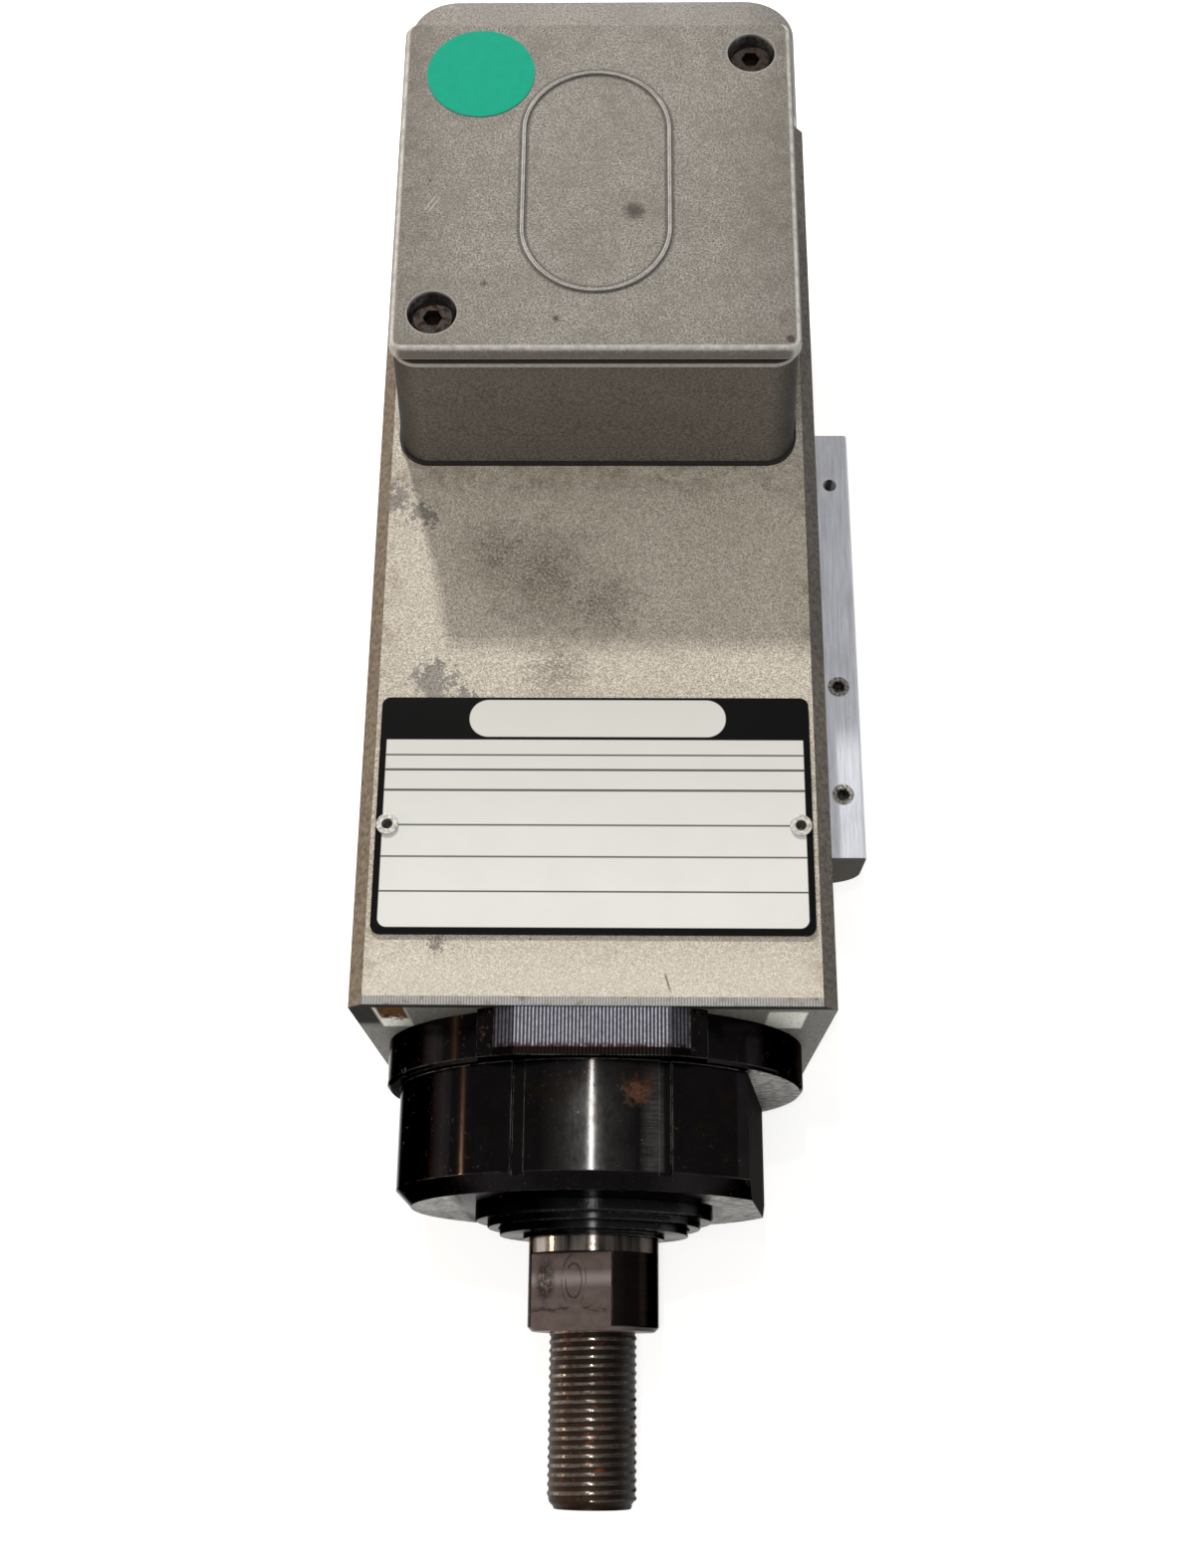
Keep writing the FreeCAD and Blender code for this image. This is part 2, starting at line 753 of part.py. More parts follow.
def rear_shield():
    """End plate with the rear bearing's boss, spigoted into the housing's bore."""
    plate = block(-half_width, half_width, housing_rear_y, shield_rear_y, -half_height, half_height)
    plate = plate.makeFillet(cover_corner_radius, edges_along(plate, ALONG))
    spigot = rod(housing_bore_radius - seat_gap, housing_rear_y - shield_spigot, housing_rear_y)
    boss = rod(shield_boss_radius, housing_rear_y - shield_boss_length, housing_rear_y)
    shield = plate.fuse([spigot, boss]).removeSplitter()
    cuts = [
        rod(rear_bearing_radius + seat_gap, housing_rear_y - shield_boss_length - PAD, spring_end_y),
        rod(rear_journal_radius + shaft_passage_gap, housing_rear_y, shield_rear_y + PAD),
    ]
    shank, head, head_height, _ = m4_screw
    for x, z in shield_bolt_points:
        cuts.append(rod(shank + screw_gap, housing_rear_y - PAD, shield_rear_y + PAD, x, z))
        cuts.append(rod(head + screw_gap, shield_rear_y - head_height, shield_rear_y + PAD, x, z))
    tapped_start = shield_rear_y - cover_screw_grip - hole_runout
    for x, z in cover_pillar_points:
        cuts.append(rod(shank + seat_gap, tapped_start, shield_rear_y + PAD, x, z))
    return shield.cut(cuts)


def shield_screws():
    """Cap screws through the rear shield into the housing, heads sunk flush."""
    head_height = m4_screw[2]
    screw = cap_screw(m4_screw, shield_thickness - head_height + shield_screw_grip)
    y = shield_rear_y - head_height
    return [aimed(screw, x, y, z, -ALONG) for x, z in shield_bolt_points]


def cooling_fan():
    """Moulded fan with straight blades, because the spindle runs either way round."""
    end = fan_y + fan_length
    hub = rod(fan_hub_radius, fan_y, end)
    disc = rod(fan_radius, fan_y, fan_y + fan_disc_thickness)
    half = fan_blade_thickness / 2
    top = fan_y + fan_disc_thickness + fan_blade_height
    blade = block(-half, half, fan_y, top, fan_hub_radius / 2, fan_radius - half)
    blades = [turned(blade, 360 * step / fan_blade_count) for step in range(fan_blade_count)]
    fan = hub.fuse([disc] + blades).removeSplitter()
    return fan.cut(rod(fan_seat_radius + seat_gap, fan_y - PAD, end + PAD))


def fan_circlip():
    """Open spring ring in the shaft's groove behind the fan."""
    inner = fan_seat_radius - circlip_groove_depth + seat_gap
    start, end = circlip_y + seat_gap, circlip_y + circlip_thickness - seat_gap
    clip = ring(fan_seat_radius + circlip_rim, inner, start, end)
    half = circlip_gap_width / 2
    mouth = block(-half, half, start - PAD, end + PAD, 0, fan_seat_radius * 2)
    return clip.cut(mouth)


def grille_slots():
    """Ring-shaped slots in the cover's rear wall, kept apart by spokes."""
    start, end = cover_end_y - cover_wall - PAD, cover_end_y + PAD
    spokes = []
    half = grille_spoke_width / 2
    for step in range(grille_spoke_count):
        spoke = block(-half, half, start - PAD, end + PAD, 0, fan_radius * 2)
        spokes.append(turned(spoke, 360 * step / grille_spoke_count))
    slots = []
    for step in range(grille_ring_count):
        low = grille_hub_radius + step * (grille_slot_width + grille_rib_width)
        slots.append(ring(low + grille_slot_width, low, start, end).cut(spokes))
    return slots


def fan_cover():
    """Square cowl over the fan: open in front, with a slotted rear wall and four screw pillars."""
    outer = rounded_bar(housing_width, housing_height, cover_corner_radius, shield_rear_y, cover_end_y)
    width, height = housing_width - 2 * cover_wall, housing_height - 2 * cover_wall
    inner_radius, wall_y = cover_corner_radius - cover_wall, cover_end_y - cover_wall
    shell = outer.cut(rounded_bar(width, height, inner_radius, shield_rear_y - PAD, wall_y))
    pillars = []
    for x, z in cover_pillar_points:
        pillars.append(rod(cover_pillar_radius, shield_rear_y, cover_end_y - cover_wall / 2, x, z))
    cover = shell.fuse(pillars).common(outer).removeSplitter()
    cuts = grille_slots()
    shank, head, head_height, _ = m4_screw
    for x, z in cover_pillar_points:
        cuts.append(rod(shank + screw_gap, shield_rear_y - PAD, cover_end_y + PAD, x, z))
        cuts.append(rod(head + screw_gap, cover_end_y - head_height, cover_end_y + PAD, x, z))
    for step in range(side_slot_count):
        start = shield_rear_y + side_slot_pitch * (step + 1)
        half = side_slot_length / 2
        cuts.append(block(-housing_width, housing_width, start, start + side_slot_width, -half, half))
    return cover.cut(cuts)


def fan_cover_screws():
    """Cap screws through the cover's pillars into the rear shield."""
    head_height = m4_screw[2]
    screw = cap_screw(m4_screw, cover_length - head_height + cover_screw_grip)
    y = cover_end_y - head_height
    return [aimed(screw, x, y, z, -ALONG) for x, z in cover_pillar_points]


def box_gasket():
    """Black flat gasket under the terminal box, which stands a little proud of it."""
    width, length = box_base_width + 2 * box_gasket_proud, box_base_length + 2 * box_gasket_proud
    sheet = rounded_slab(width, length, box_corner_radius, half_height, box_base_z, 0, box_centre_y)
    cuts = [post(lead_hole_radius, half_height - PAD, box_base_z + PAD, 0, lead_hole_y)]
    for x, y in box_screw_points:
        cuts.append(post(m4_screw[0] + screw_gap, half_height - PAD, box_base_z + PAD, x, y))
    return sheet.cut(cuts)


def box_room(low, high):
    """Room inside the terminal box's walls, between two levels."""
    width, length = box_top_width - 2 * box_wall, box_top_length - 2 * box_wall
    return rounded_slab(width, length, box_room_corner_radius, low, high, 0, box_centre_y)


def terminal_box():
    """Die-cast box with drafted walls, a bright rim and two posts for the lid screws."""
    low = rounded_wire(box_base_width, box_base_length, box_corner_radius, box_base_z, 0, box_centre_y)
    high = rounded_wire(box_top_width, box_top_length, lid_corner_radius, box_top_z, 0, box_centre_y)
    walls = Part.makeLoft([low, high], True, True)
    rim_width, rim_length = box_top_width + 2 * box_rim_proud, box_top_length + 2 * box_rim_proud
    rim_z = box_top_z - box_rim_height
    rim = rounded_slab(rim_width, rim_length, lid_corner_radius, rim_z, box_top_z, 0, box_centre_y)
    rear_y = box_centre_y + box_top_length / 2
    entry_z = box_base_z + cable_entry_height
    boss = rod(cable_boss_radius, rear_y - box_wall, rear_y + cable_boss_length, 0, entry_z)
    room = box_room(block_floor_z, box_top_z + PAD)
    shell = walls.fuse([rim, boss]).cut(room)
    posts = []
    for x, y in lid_screw_points:
        posts.append(post(post_radius, box_base_z + box_floor / 2, lid_boss_floor_z, x, y))
    shell = shell.fuse(posts)
    cuts = [
        post(lead_hole_radius, box_base_z - PAD, block_floor_z + PAD, 0, lead_hole_y),
        rod(cable_entry_radius, rear_y - 2 * box_wall, rear_y + 2 * box_wall, 0, entry_z),
    ]
    for x, y in box_screw_points:
        cuts.append(post(m4_screw[0] + screw_gap, box_base_z - PAD, block_floor_z + PAD, x, y))
    tapped_z = lid_boss_floor_z - lid_screw_grip - hole_runout
    for x, y in lid_screw_points:
        cuts.append(post(m4_screw[0] + seat_gap, tapped_z, box_top_z, x, y))
        cuts.append(post(lid_boss_radius + lid_boss_gap, lid_boss_floor_z, box_top_z + PAD, x, y))
    return shell.cut(cuts)


def box_screws():
    """Cap screws through the box floor into the housing."""
    screw = cap_screw(m4_screw, box_floor + box_gasket_thickness + box_screw_grip)
    return [aimed(screw, x, y, block_floor_z, -UP) for x, y in box_screw_points]


def lid_gasket():
    """Thin black frame between the box rim and the lid."""
    width, length = box_top_width - 2 * lid_gasket_inset, box_top_length - 2 * lid_gasket_inset
    sheet = rounded_slab(width, length, lid_corner_radius, box_top_z, lid_base_z, 0, box_centre_y)
    cuts = [box_room(box_top_z - PAD, lid_base_z + PAD)]
    for x, y in lid_screw_points:
        cuts.append(post(lid_boss_radius + lid_boss_gap, box_top_z - PAD, lid_base_z + PAD, x, y))
    return sheet.cut(cuts)


def lid_bead():
    """Raised stadium-shaped bead on the lid."""
    low, high = lid_top_z - PAD, lid_top_z + lid_bead_height
    width, length = lid_bead_width, lid_bead_length
    outer = rounded_slab(width, length, width / 2 - TINY, low, high, 0, box_centre_y)
    width, length = width - 2 * lid_bead_rim, length - 2 * lid_bead_rim
    inner = rounded_slab(width, length, width / 2 - TINY, low - PAD, high + PAD, 0, box_centre_y)
    return outer.cut(inner)


def terminal_lid():
    """Cast lid with rounded edges, the raised bead and two counterbored screw bosses."""
    slab = rounded_slab(lid_width, lid_length, lid_corner_radius, lid_base_z, lid_top_z, 0, box_centre_y)
    rim = [edge for edge in slab.Edges if min(v.Point.z for v in edge.Vertexes) > lid_top_z - TINY]
    lid = slab.makeFillet(lid_edge_radius, rim)
    bosses = [post(lid_boss_radius, lid_boss_floor_z, lid_base_z, x, y) for x, y in lid_screw_points]
    lid = lid.fuse(bosses + [lid_bead()])
    cuts = []
    for x, y in lid_screw_points:
        cuts.append(post(m4_screw[0] + screw_gap, lid_boss_floor_z - PAD, lid_top_z + PAD, x, y))
        cuts.append(post(lid_recess_radius, lid_recess_floor_z, lid_top_z + PAD, x, y))
    return lid.cut(cuts)


def lid_screws():
    """The two cap screws of the lid, sunk in its counterbores."""
    length = lid_recess_floor_z - lid_boss_floor_z + lid_screw_grip
    screw = cap_screw(m4_screw, length)
    return [aimed(screw, x, y, lid_recess_floor_z, -UP) for x, y in lid_screw_points]


stud_points = [
    (step * stud_pitch_x, box_centre_y + block_offset_y + row * stud_pitch_y / 2)
    for step in (-1, 0, 1)
    for row in (-1, 1)
]


def terminal_block():
    """Moulded terminal block with ribs between the studs."""
    half, middle_y = block_length / 2, box_centre_y + block_offset_y
    y0, y1 = middle_y - block_width / 2, middle_y + block_width / 2
    body = block(-half, half, y0, y1, block_floor_z, block_top_z)
    rib_half, rib_top = block_rib / 2, block_top_z + block_rib_height
    ribs = []
    for x in (-stud_pitch_x / 2, stud_pitch_x / 2):
        ribs.append(block(x - rib_half, x + rib_half, y0, y1, block_top_z - PAD, rib_top))
    body = body.fuse(ribs).removeSplitter()
    low, bore = block_top_z - block_height / 2, stud_radius + seat_gap
    return body.cut([post(bore, low, block_top_z + PAD, x, y) for x, y in stud_points])


def terminal_studs():
    """Brass studs of the six winding ends."""
    low, high = block_top_z - block_height / 2, block_top_z + stud_height
    return [post(stud_radius, low, high, x, y) for x, y in stud_points]


def terminal_nuts():
    """Hexagon nuts on the studs."""
    bore = rod(stud_radius + seat_gap, -PAD, stud_nut_height + PAD)
    nut = hexagon(stud_nut_across, 0, stud_nut_height).cut(bore)
    return [aimed(nut, x, y, block_top_z, UP) for x, y in stud_points]


def name_plate():
    """Thin sheet plate riveted flat on the housing."""
    low, high = half_height, half_height + plate_thickness
    corner = plate_corner_radius
    sheet = rounded_slab(plate_width, plate_length, corner, low, high, 0, plate_centre_y)
    holes = []
    for x in (-rivet_offset_x, rivet_offset_x):
        holes.append(post(rivet_shank_radius + seat_gap, low - PAD, high + PAD, x, rivet_y))
    return sheet.cut(holes)


def plate_rivets():
    """Two hollow rivets."""
    base = half_height + plate_thickness
    rivets = []
    for x in (-rivet_offset_x, rivet_offset_x):
        head = post(rivet_head_radius, base, base + rivet_head_height, x, rivet_y)
        shank = post(rivet_shank_radius, half_height - rivet_length, base, x, rivet_y)
        rivet = head.fuse(shank).removeSplitter()
        rivets.append(rivet.cut(post(rivet_bore_radius, base - rivet_length, base + PAD, x, rivet_y)))
    return rivets


def side_bar():
    """Aluminium bar along the right side, round below, with tapped holes in its top edge."""
    outer_x, end_y = half_width + bar_thickness, bar_front_y + bar_length
    bar = block(half_width, outer_x, bar_front_y, end_y, bar_top_z - bar_height, bar_top_z)
    outer = [edge for edge in edges_along(bar, ALONG) if edge.CenterOfMass.x > bar_centre_x]
    low = [edge for edge in outer if edge.CenterOfMass.z < bar_screw_z]
    bar = bar.makeFillet(bar_round, low)
    high = [edge for edge in edges_along(bar, ALONG) if abs(edge.CenterOfMass.z - bar_top_z) < TINY]
    bar = bar.makeChamfer(bar_edge, [edge for edge in high if edge.CenterOfMass.x > bar_centre_x])
    radii = (m4_screw[0] + seat_gap, m4_screw[0] + seat_gap, bar_hole_radius)
    cuts = []
    for y, radius in zip(bar_hole_ys, radii):
        cuts.append(post(radius, bar_top_z - bar_hole_depth, bar_top_z + PAD, bar_centre_x, y))
    shank, head, head_height, _ = m3_screw
    for y in bar_screw_ys:
        start = Vector(half_width - PAD, y, bar_screw_z)
        seat = Vector(outer_x - head_height, y, bar_screw_z)
        cuts.append(Part.makeCylinder(shank + screw_gap, bar_thickness + 2 * PAD, start, ACROSS))
        cuts.append(Part.makeCylinder(head + screw_gap, head_height + PAD, seat, ACROSS))
    return bar.cut(cuts)


def side_bar_screws():
    """Cap screws that hold the bar, heads sunk flush."""
    head_height = m3_screw[2]
    screw = cap_screw(m3_screw, bar_thickness - head_height + bar_screw_grip)
    x = half_width + bar_thickness - head_height
    return [aimed(screw, x, y, bar_screw_z, -ACROSS) for y in bar_screw_ys]


def side_bar_grub_screws():
    """Grub screws in the two front holes of the bar's top edge."""
    radius = m4_screw[0]
    socket = hexagon(radius, 0, grub_socket_depth)
    grub = rod(radius, 0, grub_length).cut(socket)
    return [aimed(grub, bar_centre_x, y, bar_top_z, -UP) for y in bar_hole_ys[:2]]


def main():
    os.makedirs("parts", exist_ok=True)
    front_size = (journal_radius, front_bearing_radius, front_bearing_width)
    rear_size = (rear_journal_radius, rear_bearing_radius, rear_bearing_width)
    bearings = (
        ("front", first_bearing_y, front_size, (front_ball_radius, front_ball_count)),
        ("middle", second_bearing_y, front_size, (front_ball_radius, front_ball_count)),
        ("rear", rear_bearing_y, rear_size, (rear_ball_radius, rear_ball_count)),
    )
    for place, start, size, balls in bearings:
        inner, outer, cage = bearing(start, *size, *balls)
        write(place + "_bearing_inner_ring", [inner])
        write(place + "_bearing_outer_ring", [outer])
        write(place + "_bearing_cage", [cage])
    single = (
        motor_housing, nose_housing, labyrinth_cover, labyrinth_ring, spindle_shaft, inner_spacer,
        outer_spacer, bearing_locknut, bearing_retainer, rotor_core, rotor_cage, stator_core,
        stator_winding, wave_spring, rear_shield, cooling_fan, fan_circlip, fan_cover, box_gasket,
        terminal_box, lid_gasket, terminal_lid, terminal_block, name_plate, side_bar,
    )
    for make in single:
        write(make.__name__, [make()])
    groups = (
        nose_screws, retainer_screws, shield_screws, fan_cover_screws, box_screws, lid_screws,
        terminal_studs, terminal_nuts, plate_rivets, side_bar_screws, side_bar_grub_screws,
    )
    for make in groups:
        write(make.__name__, make())


main()
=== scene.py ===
import math

import bpy
from mathutils import Matrix, Vector


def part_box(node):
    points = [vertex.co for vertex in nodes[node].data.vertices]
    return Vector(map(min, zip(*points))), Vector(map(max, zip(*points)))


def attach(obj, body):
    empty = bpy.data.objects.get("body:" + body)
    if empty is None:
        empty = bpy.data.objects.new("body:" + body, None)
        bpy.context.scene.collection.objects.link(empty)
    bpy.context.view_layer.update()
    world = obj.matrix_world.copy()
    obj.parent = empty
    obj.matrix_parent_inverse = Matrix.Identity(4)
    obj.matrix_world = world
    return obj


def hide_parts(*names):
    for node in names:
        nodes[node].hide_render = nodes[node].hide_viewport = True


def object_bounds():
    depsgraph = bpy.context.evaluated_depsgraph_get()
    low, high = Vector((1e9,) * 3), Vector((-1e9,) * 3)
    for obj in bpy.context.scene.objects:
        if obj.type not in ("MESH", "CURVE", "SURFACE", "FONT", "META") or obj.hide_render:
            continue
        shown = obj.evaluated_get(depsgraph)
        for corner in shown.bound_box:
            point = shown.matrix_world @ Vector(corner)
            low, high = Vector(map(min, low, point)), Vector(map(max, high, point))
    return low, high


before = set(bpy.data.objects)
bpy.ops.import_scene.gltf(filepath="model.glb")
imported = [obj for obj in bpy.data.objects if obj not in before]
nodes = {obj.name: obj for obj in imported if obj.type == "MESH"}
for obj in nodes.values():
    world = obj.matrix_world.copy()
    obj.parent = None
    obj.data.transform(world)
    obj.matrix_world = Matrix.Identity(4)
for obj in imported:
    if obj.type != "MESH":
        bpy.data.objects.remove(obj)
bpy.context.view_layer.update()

bpy.ops.object.select_all(action="DESELECT")

# Camera. It stands over the tool end and looks down and along the motor. Its place and angles are
# fitted to the edges of the part in the photograph.
camera_place = (0.00530, -0.01125, 0.32521)
camera_turns = (("Z", 2.60), ("X", 20.01), ("Z", -2.26))
camera_data = bpy.data.cameras.new("main_camera")
camera_data.sensor_fit = "HORIZONTAL"
camera_data.sensor_width = 36.0
camera_data.lens = 50.81
camera = bpy.data.objects.new("main_camera", camera_data)
bpy.context.collection.objects.link(camera)
bpy.context.scene.camera = camera
camera_matrix = Matrix.Translation(camera_place)
for axis, degrees in camera_turns:
    camera_matrix = camera_matrix @ Matrix.Rotation(math.radians(degrees), 4, axis)
camera.matrix_world = camera_matrix

# Studio. One lamp stands behind and to the left and throws the terminal box's shadow forward,
# three small ones hang over the motor near the lens, and a warm one stands low on the left. The
# room is evenly lit, and white where the camera looks past the floor.
white_light, warm_light = (1.0, 0.98, 0.95), (1.0, 0.6, 0.32)
motor_middle = (0.0, 0.1, 0.0)
room_strength = 0.38


def studio_lamp(name, place, aim, size, power, colour):
    """A round lamp that shines at one point."""
    lamp_data = bpy.data.lights.new(name, "AREA")
    lamp_data.shape = "DISK"
    lamp_data.size = size
    lamp_data.energy = power
    lamp_data.color = colour
    lamp = bpy.data.objects.new(name, lamp_data)
    bpy.context.collection.objects.link(lamp)
    lamp.location = place
    lamp.rotation_euler = (Vector(aim) - Vector(place)).to_track_quat("-Z", "Y").to_euler()


studio_lamp("rear_lamp", (-0.206, 1.0, 0.824), (0.0, 0.15, 0.0), 0.07, 10.0, (1.0, 0.97, 0.92))
studio_lamp("lens_lamp", (-0.006, -0.02, 0.42), motor_middle, 0.012, 0.18, white_light)
studio_lamp("high_lamp", (-0.007, 0.092, 0.42), motor_middle, 0.010, 0.12, white_light)
studio_lamp("lens_glow", (-0.012, -0.03, 0.46), motor_middle, 0.12, 0.10, white_light)
studio_lamp("left_lamp", (-0.75, 0.05, 0.16), motor_middle, 0.012, 0.8, warm_light)

world = bpy.data.worlds.new("studio_room")
world.use_nodes = True
bpy.context.scene.world = world
room_nodes, room_links = world.node_tree.nodes, world.node_tree.links
room_nodes["Background"].inputs["Color"].default_value = white_light + (1.0,)
room_nodes["Background"].inputs["Strength"].default_value = room_strength
backdrop = room_nodes.new("ShaderNodeBackground")
backdrop.inputs["Color"].default_value = (1.0, 1.0, 1.0, 1.0)
room_ray = room_nodes.new("ShaderNodeLightPath")
room_seen = room_nodes.new("ShaderNodeMixShader")
room_links.new(room_ray.outputs["Is Camera Ray"], room_seen.inputs["Fac"])
room_links.new(room_nodes["Background"].outputs["Background"], room_seen.inputs[1])
room_links.new(backdrop.outputs["Background"], room_seen.inputs[2])
room_links.new(room_seen.outputs["Shader"], room_nodes["World Output"].inputs["Surface"])
bpy.context.scene.view_settings.view_transform = "Standard"

# Floor. A plain pale board under the motor's foot face; the camera sees it as white, and it keeps
# the motor's soft shadow.
floor_size, floor_gap = 60.0, 0.0002
floor_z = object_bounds()[0][2] - floor_gap
bpy.ops.mesh.primitive_plane_add(size=floor_size, location=(0.0, 0.0, floor_z))
floor = bpy.context.object
floor.name = "floor"
board = bpy.data.materials.new("pale_board")
board.use_nodes = True
board_nodes, board_links = board.node_tree.nodes, board.node_tree.links
board_nodes["Principled BSDF"].inputs["Base Color"].default_value = (0.72, 0.72, 0.71, 1.0)
board_nodes["Principled BSDF"].inputs["Roughness"].default_value = 0.9
ray = board_nodes.new("ShaderNodeLightPath")
glow = board_nodes.new("ShaderNodeEmission")
glow.inputs["Strength"].default_value = 0.7
both = board_nodes.new("ShaderNodeAddShader")
seen = board_nodes.new("ShaderNodeMixShader")
straight_or_mirrored = board_nodes.new("ShaderNodeMath")
straight_or_mirrored.operation = "MAXIMUM"
or_through_glass = board_nodes.new("ShaderNodeMath")
or_through_glass.operation = "MAXIMUM"
board_links.new(board_nodes["Principled BSDF"].outputs["BSDF"], both.inputs[0])
board_links.new(glow.outputs["Emission"], both.inputs[1])
board_links.new(ray.outputs["Is Camera Ray"], straight_or_mirrored.inputs[0])
board_links.new(ray.outputs["Is Glossy Ray"], straight_or_mirrored.inputs[1])
board_links.new(straight_or_mirrored.outputs[0], or_through_glass.inputs[0])
board_links.new(ray.outputs["Is Transmission Ray"], or_through_glass.inputs[1])
board_links.new(or_through_glass.outputs[0], seen.inputs["Fac"])
board_links.new(board_nodes["Principled BSDF"].outputs["BSDF"], seen.inputs[1])
board_links.new(both.outputs["Shader"], seen.inputs[2])
board_links.new(seen.outputs["Shader"], board_nodes["Material Output"].inputs["Surface"])
floor.data.materials.append(board)
bpy.ops.object.select_all(action="DESELECT")


# Motor housing. A square extrusion of light alloy in a fine hammered beige paint; its bevelled
# long edges are grimy, the right one darker still as painted shade, and its front edge was faced
# off after painting. Painted light makes it lighter towards the front, and painted shade darkens
# the top and left edge of its front face.
def tint(red, green, blue):
    """Colour from 0 to 255 as seen on a screen, for a node socket."""
    return tuple(((part / 255 + 0.055) / 1.055) ** 2.4 for part in (red, green, blue)) + (1.0,)


class Finish:
    """A surface whose patterns are laid out in millimetres on the part."""

    def __init__(self, name, metallic, roughness, gloss=0.5, rim_gloss=1.0):
        self.material = bpy.data.materials.new(name)
        self.material.use_nodes = True
        self.nodes = self.material.node_tree.nodes
        self.links = self.material.node_tree.links
        self.shader = self.nodes["Principled BSDF"]
        self.shader.inputs["Metallic"].default_value = metallic
        self.shader.inputs["Roughness"].default_value = roughness
        self.shader.inputs["Specular IOR Level"].default_value = gloss
        self.shader.inputs["Specular Tint"].default_value = (rim_gloss, rim_gloss, rim_gloss, 1.0)
        place = self.nodes.new("ShaderNodeTexCoord")
        self.place = self.vector("MULTIPLY", place.outputs["Object"], (1000, 1000, 1000))
        split = self.nodes.new("ShaderNodeSeparateXYZ")
        self.links.new(self.place, split.inputs[0])
        self.x, self.y, self.z = split.outputs
        facing = self.nodes.new("ShaderNodeNewGeometry")
        split = self.nodes.new("ShaderNodeSeparateXYZ")
        self.links.new(facing.outputs["Normal"], split.inputs[0])
        self.facing_x, self.facing_y, self.facing_z = split.outputs

    def put(self, value, socket):
        if isinstance(value, bpy.types.NodeSocket):
            self.links.new(value, socket)
        else:
            socket.default_value = value

    def vector(self, operation, first, second):
        node = self.nodes.new("ShaderNodeVectorMath")
        node.operation = operation
        self.put(first, node.inputs[0])
        self.put(second, node.inputs[1])
        return node.outputs[0]

    def math(self, operation, first, second=0.0):
        node = self.nodes.new("ShaderNodeMath")
        node.operation = operation
        self.put(first, node.inputs[0])
        self.put(second, node.inputs[1])
        return node.outputs[0]

    def noise(self, size, detail=2.0, rough=0.5, stretch=(1, 1, 1)):
        """Random pattern with spots of about this size in millimetres."""
        node = self.nodes.new("ShaderNodeTexNoise")
        scaled = self.vector("MULTIPLY", self.place, tuple(1 / (size * s) for s in stretch))
        self.links.new(scaled, node.inputs["Vector"])
        node.inputs["Scale"].default_value = 1.0
        node.inputs["Detail"].default_value = detail
        node.inputs["Roughness"].default_value = rough
        return node.outputs[0]

    def span(self, value, low, high, start=0.0, end=1.0):
        """Goes from start to end while value goes from low to high."""
        node = self.nodes.new("ShaderNodeMapRange")
        self.put(value, node.inputs["Value"])
        for socket, number in zip(node.inputs[1:5], (low, high, start, end)):
            socket.default_value = number
        return node.outputs[0]

    def window(self, value, low, high, soft):
        """One between two limits, nought outside."""
        rise = self.span(value, low - soft, low + soft)
        fall = self.span(value, high - soft, high + soft, 1.0, 0.0)
        return self.math("MULTIPLY", rise, fall)

    def away(self, value, centre=0.0):
        """How far a value lies from a centre, on either side."""
        return self.math("ABSOLUTE", self.math("SUBTRACT", value, centre) if centre else value)

    def distance(self, first, second):
        """Length of the slanted side over two sides at a right angle."""
        return self.math(
            "SQRT", self.math("ADD", self.math("POWER", first, 2.0), self.math("POWER", second, 2.0))
        )

    def round_about(self, first, centre_first, second, centre_second):
        """Distance in millimetres from an axis."""
        away_second = self.math("SUBTRACT", second, centre_second)
        return self.distance(self.math("SUBTRACT", first, centre_first), away_second)

    def without(self, share):
        """One where the share is nought, and nought where it is one."""
        return self.span(share, 0.0, 1.0, 1.0, 0.0)

    def all_of(self, *shares):
        result = shares[0]
        for share in shares[1:]:
            result = self.math("MULTIPLY", result, share)
        return result

    def any_of(self, *shares):
        result = shares[0]
        for share in shares[1:]:
            result = self.math("MAXIMUM", result, share)
        return result

    def spot(self, x, y, reach, soft, ragged):
        """Round patch about an upright line, with a ragged edge."""
        away = self.round_about(self.x, x, self.y, y)
        wander = self.math("MULTIPLY", self.noise(reach * 0.5, 4.0, 0.6), ragged * 2)
        away = self.math("ADD", away, self.math("SUBTRACT", wander, ragged))
        return self.span(away, reach - soft, reach + soft, 1.0, 0.0)

    def mix(self, share, first, second):
        node = self.nodes.new("ShaderNodeMix")
        node.data_type = "RGBA"
        self.put(share, node.inputs["Factor"])
        self.put(first, node.inputs[6])
        self.put(second, node.inputs[7])
        return node.outputs[2]

    def colour(self, value):
        self.put(value, self.shader.inputs["Base Color"])

    def rough(self, value):
        self.put(value, self.shader.inputs["Roughness"])

    def metal(self, value):
        self.put(value, self.shader.inputs["Metallic"])

    def relief(self, height, depth, edge=0.0):
        """Bumps this deep in millimetres, on edges rounded by the given radius."""
        bump = self.nodes.new("ShaderNodeBump")
        bump.inputs["Distance"].default_value = depth / 1000
        self.put(height, bump.inputs["Height"])
        if edge:
            worn = self.nodes.new("ShaderNodeBevel")
            worn.samples = 4
            worn.inputs["Radius"].default_value = edge / 1000
            self.links.new(worn.outputs[0], bump.inputs["Normal"])
        self.links.new(bump.outputs[0], self.shader.inputs["Normal"])

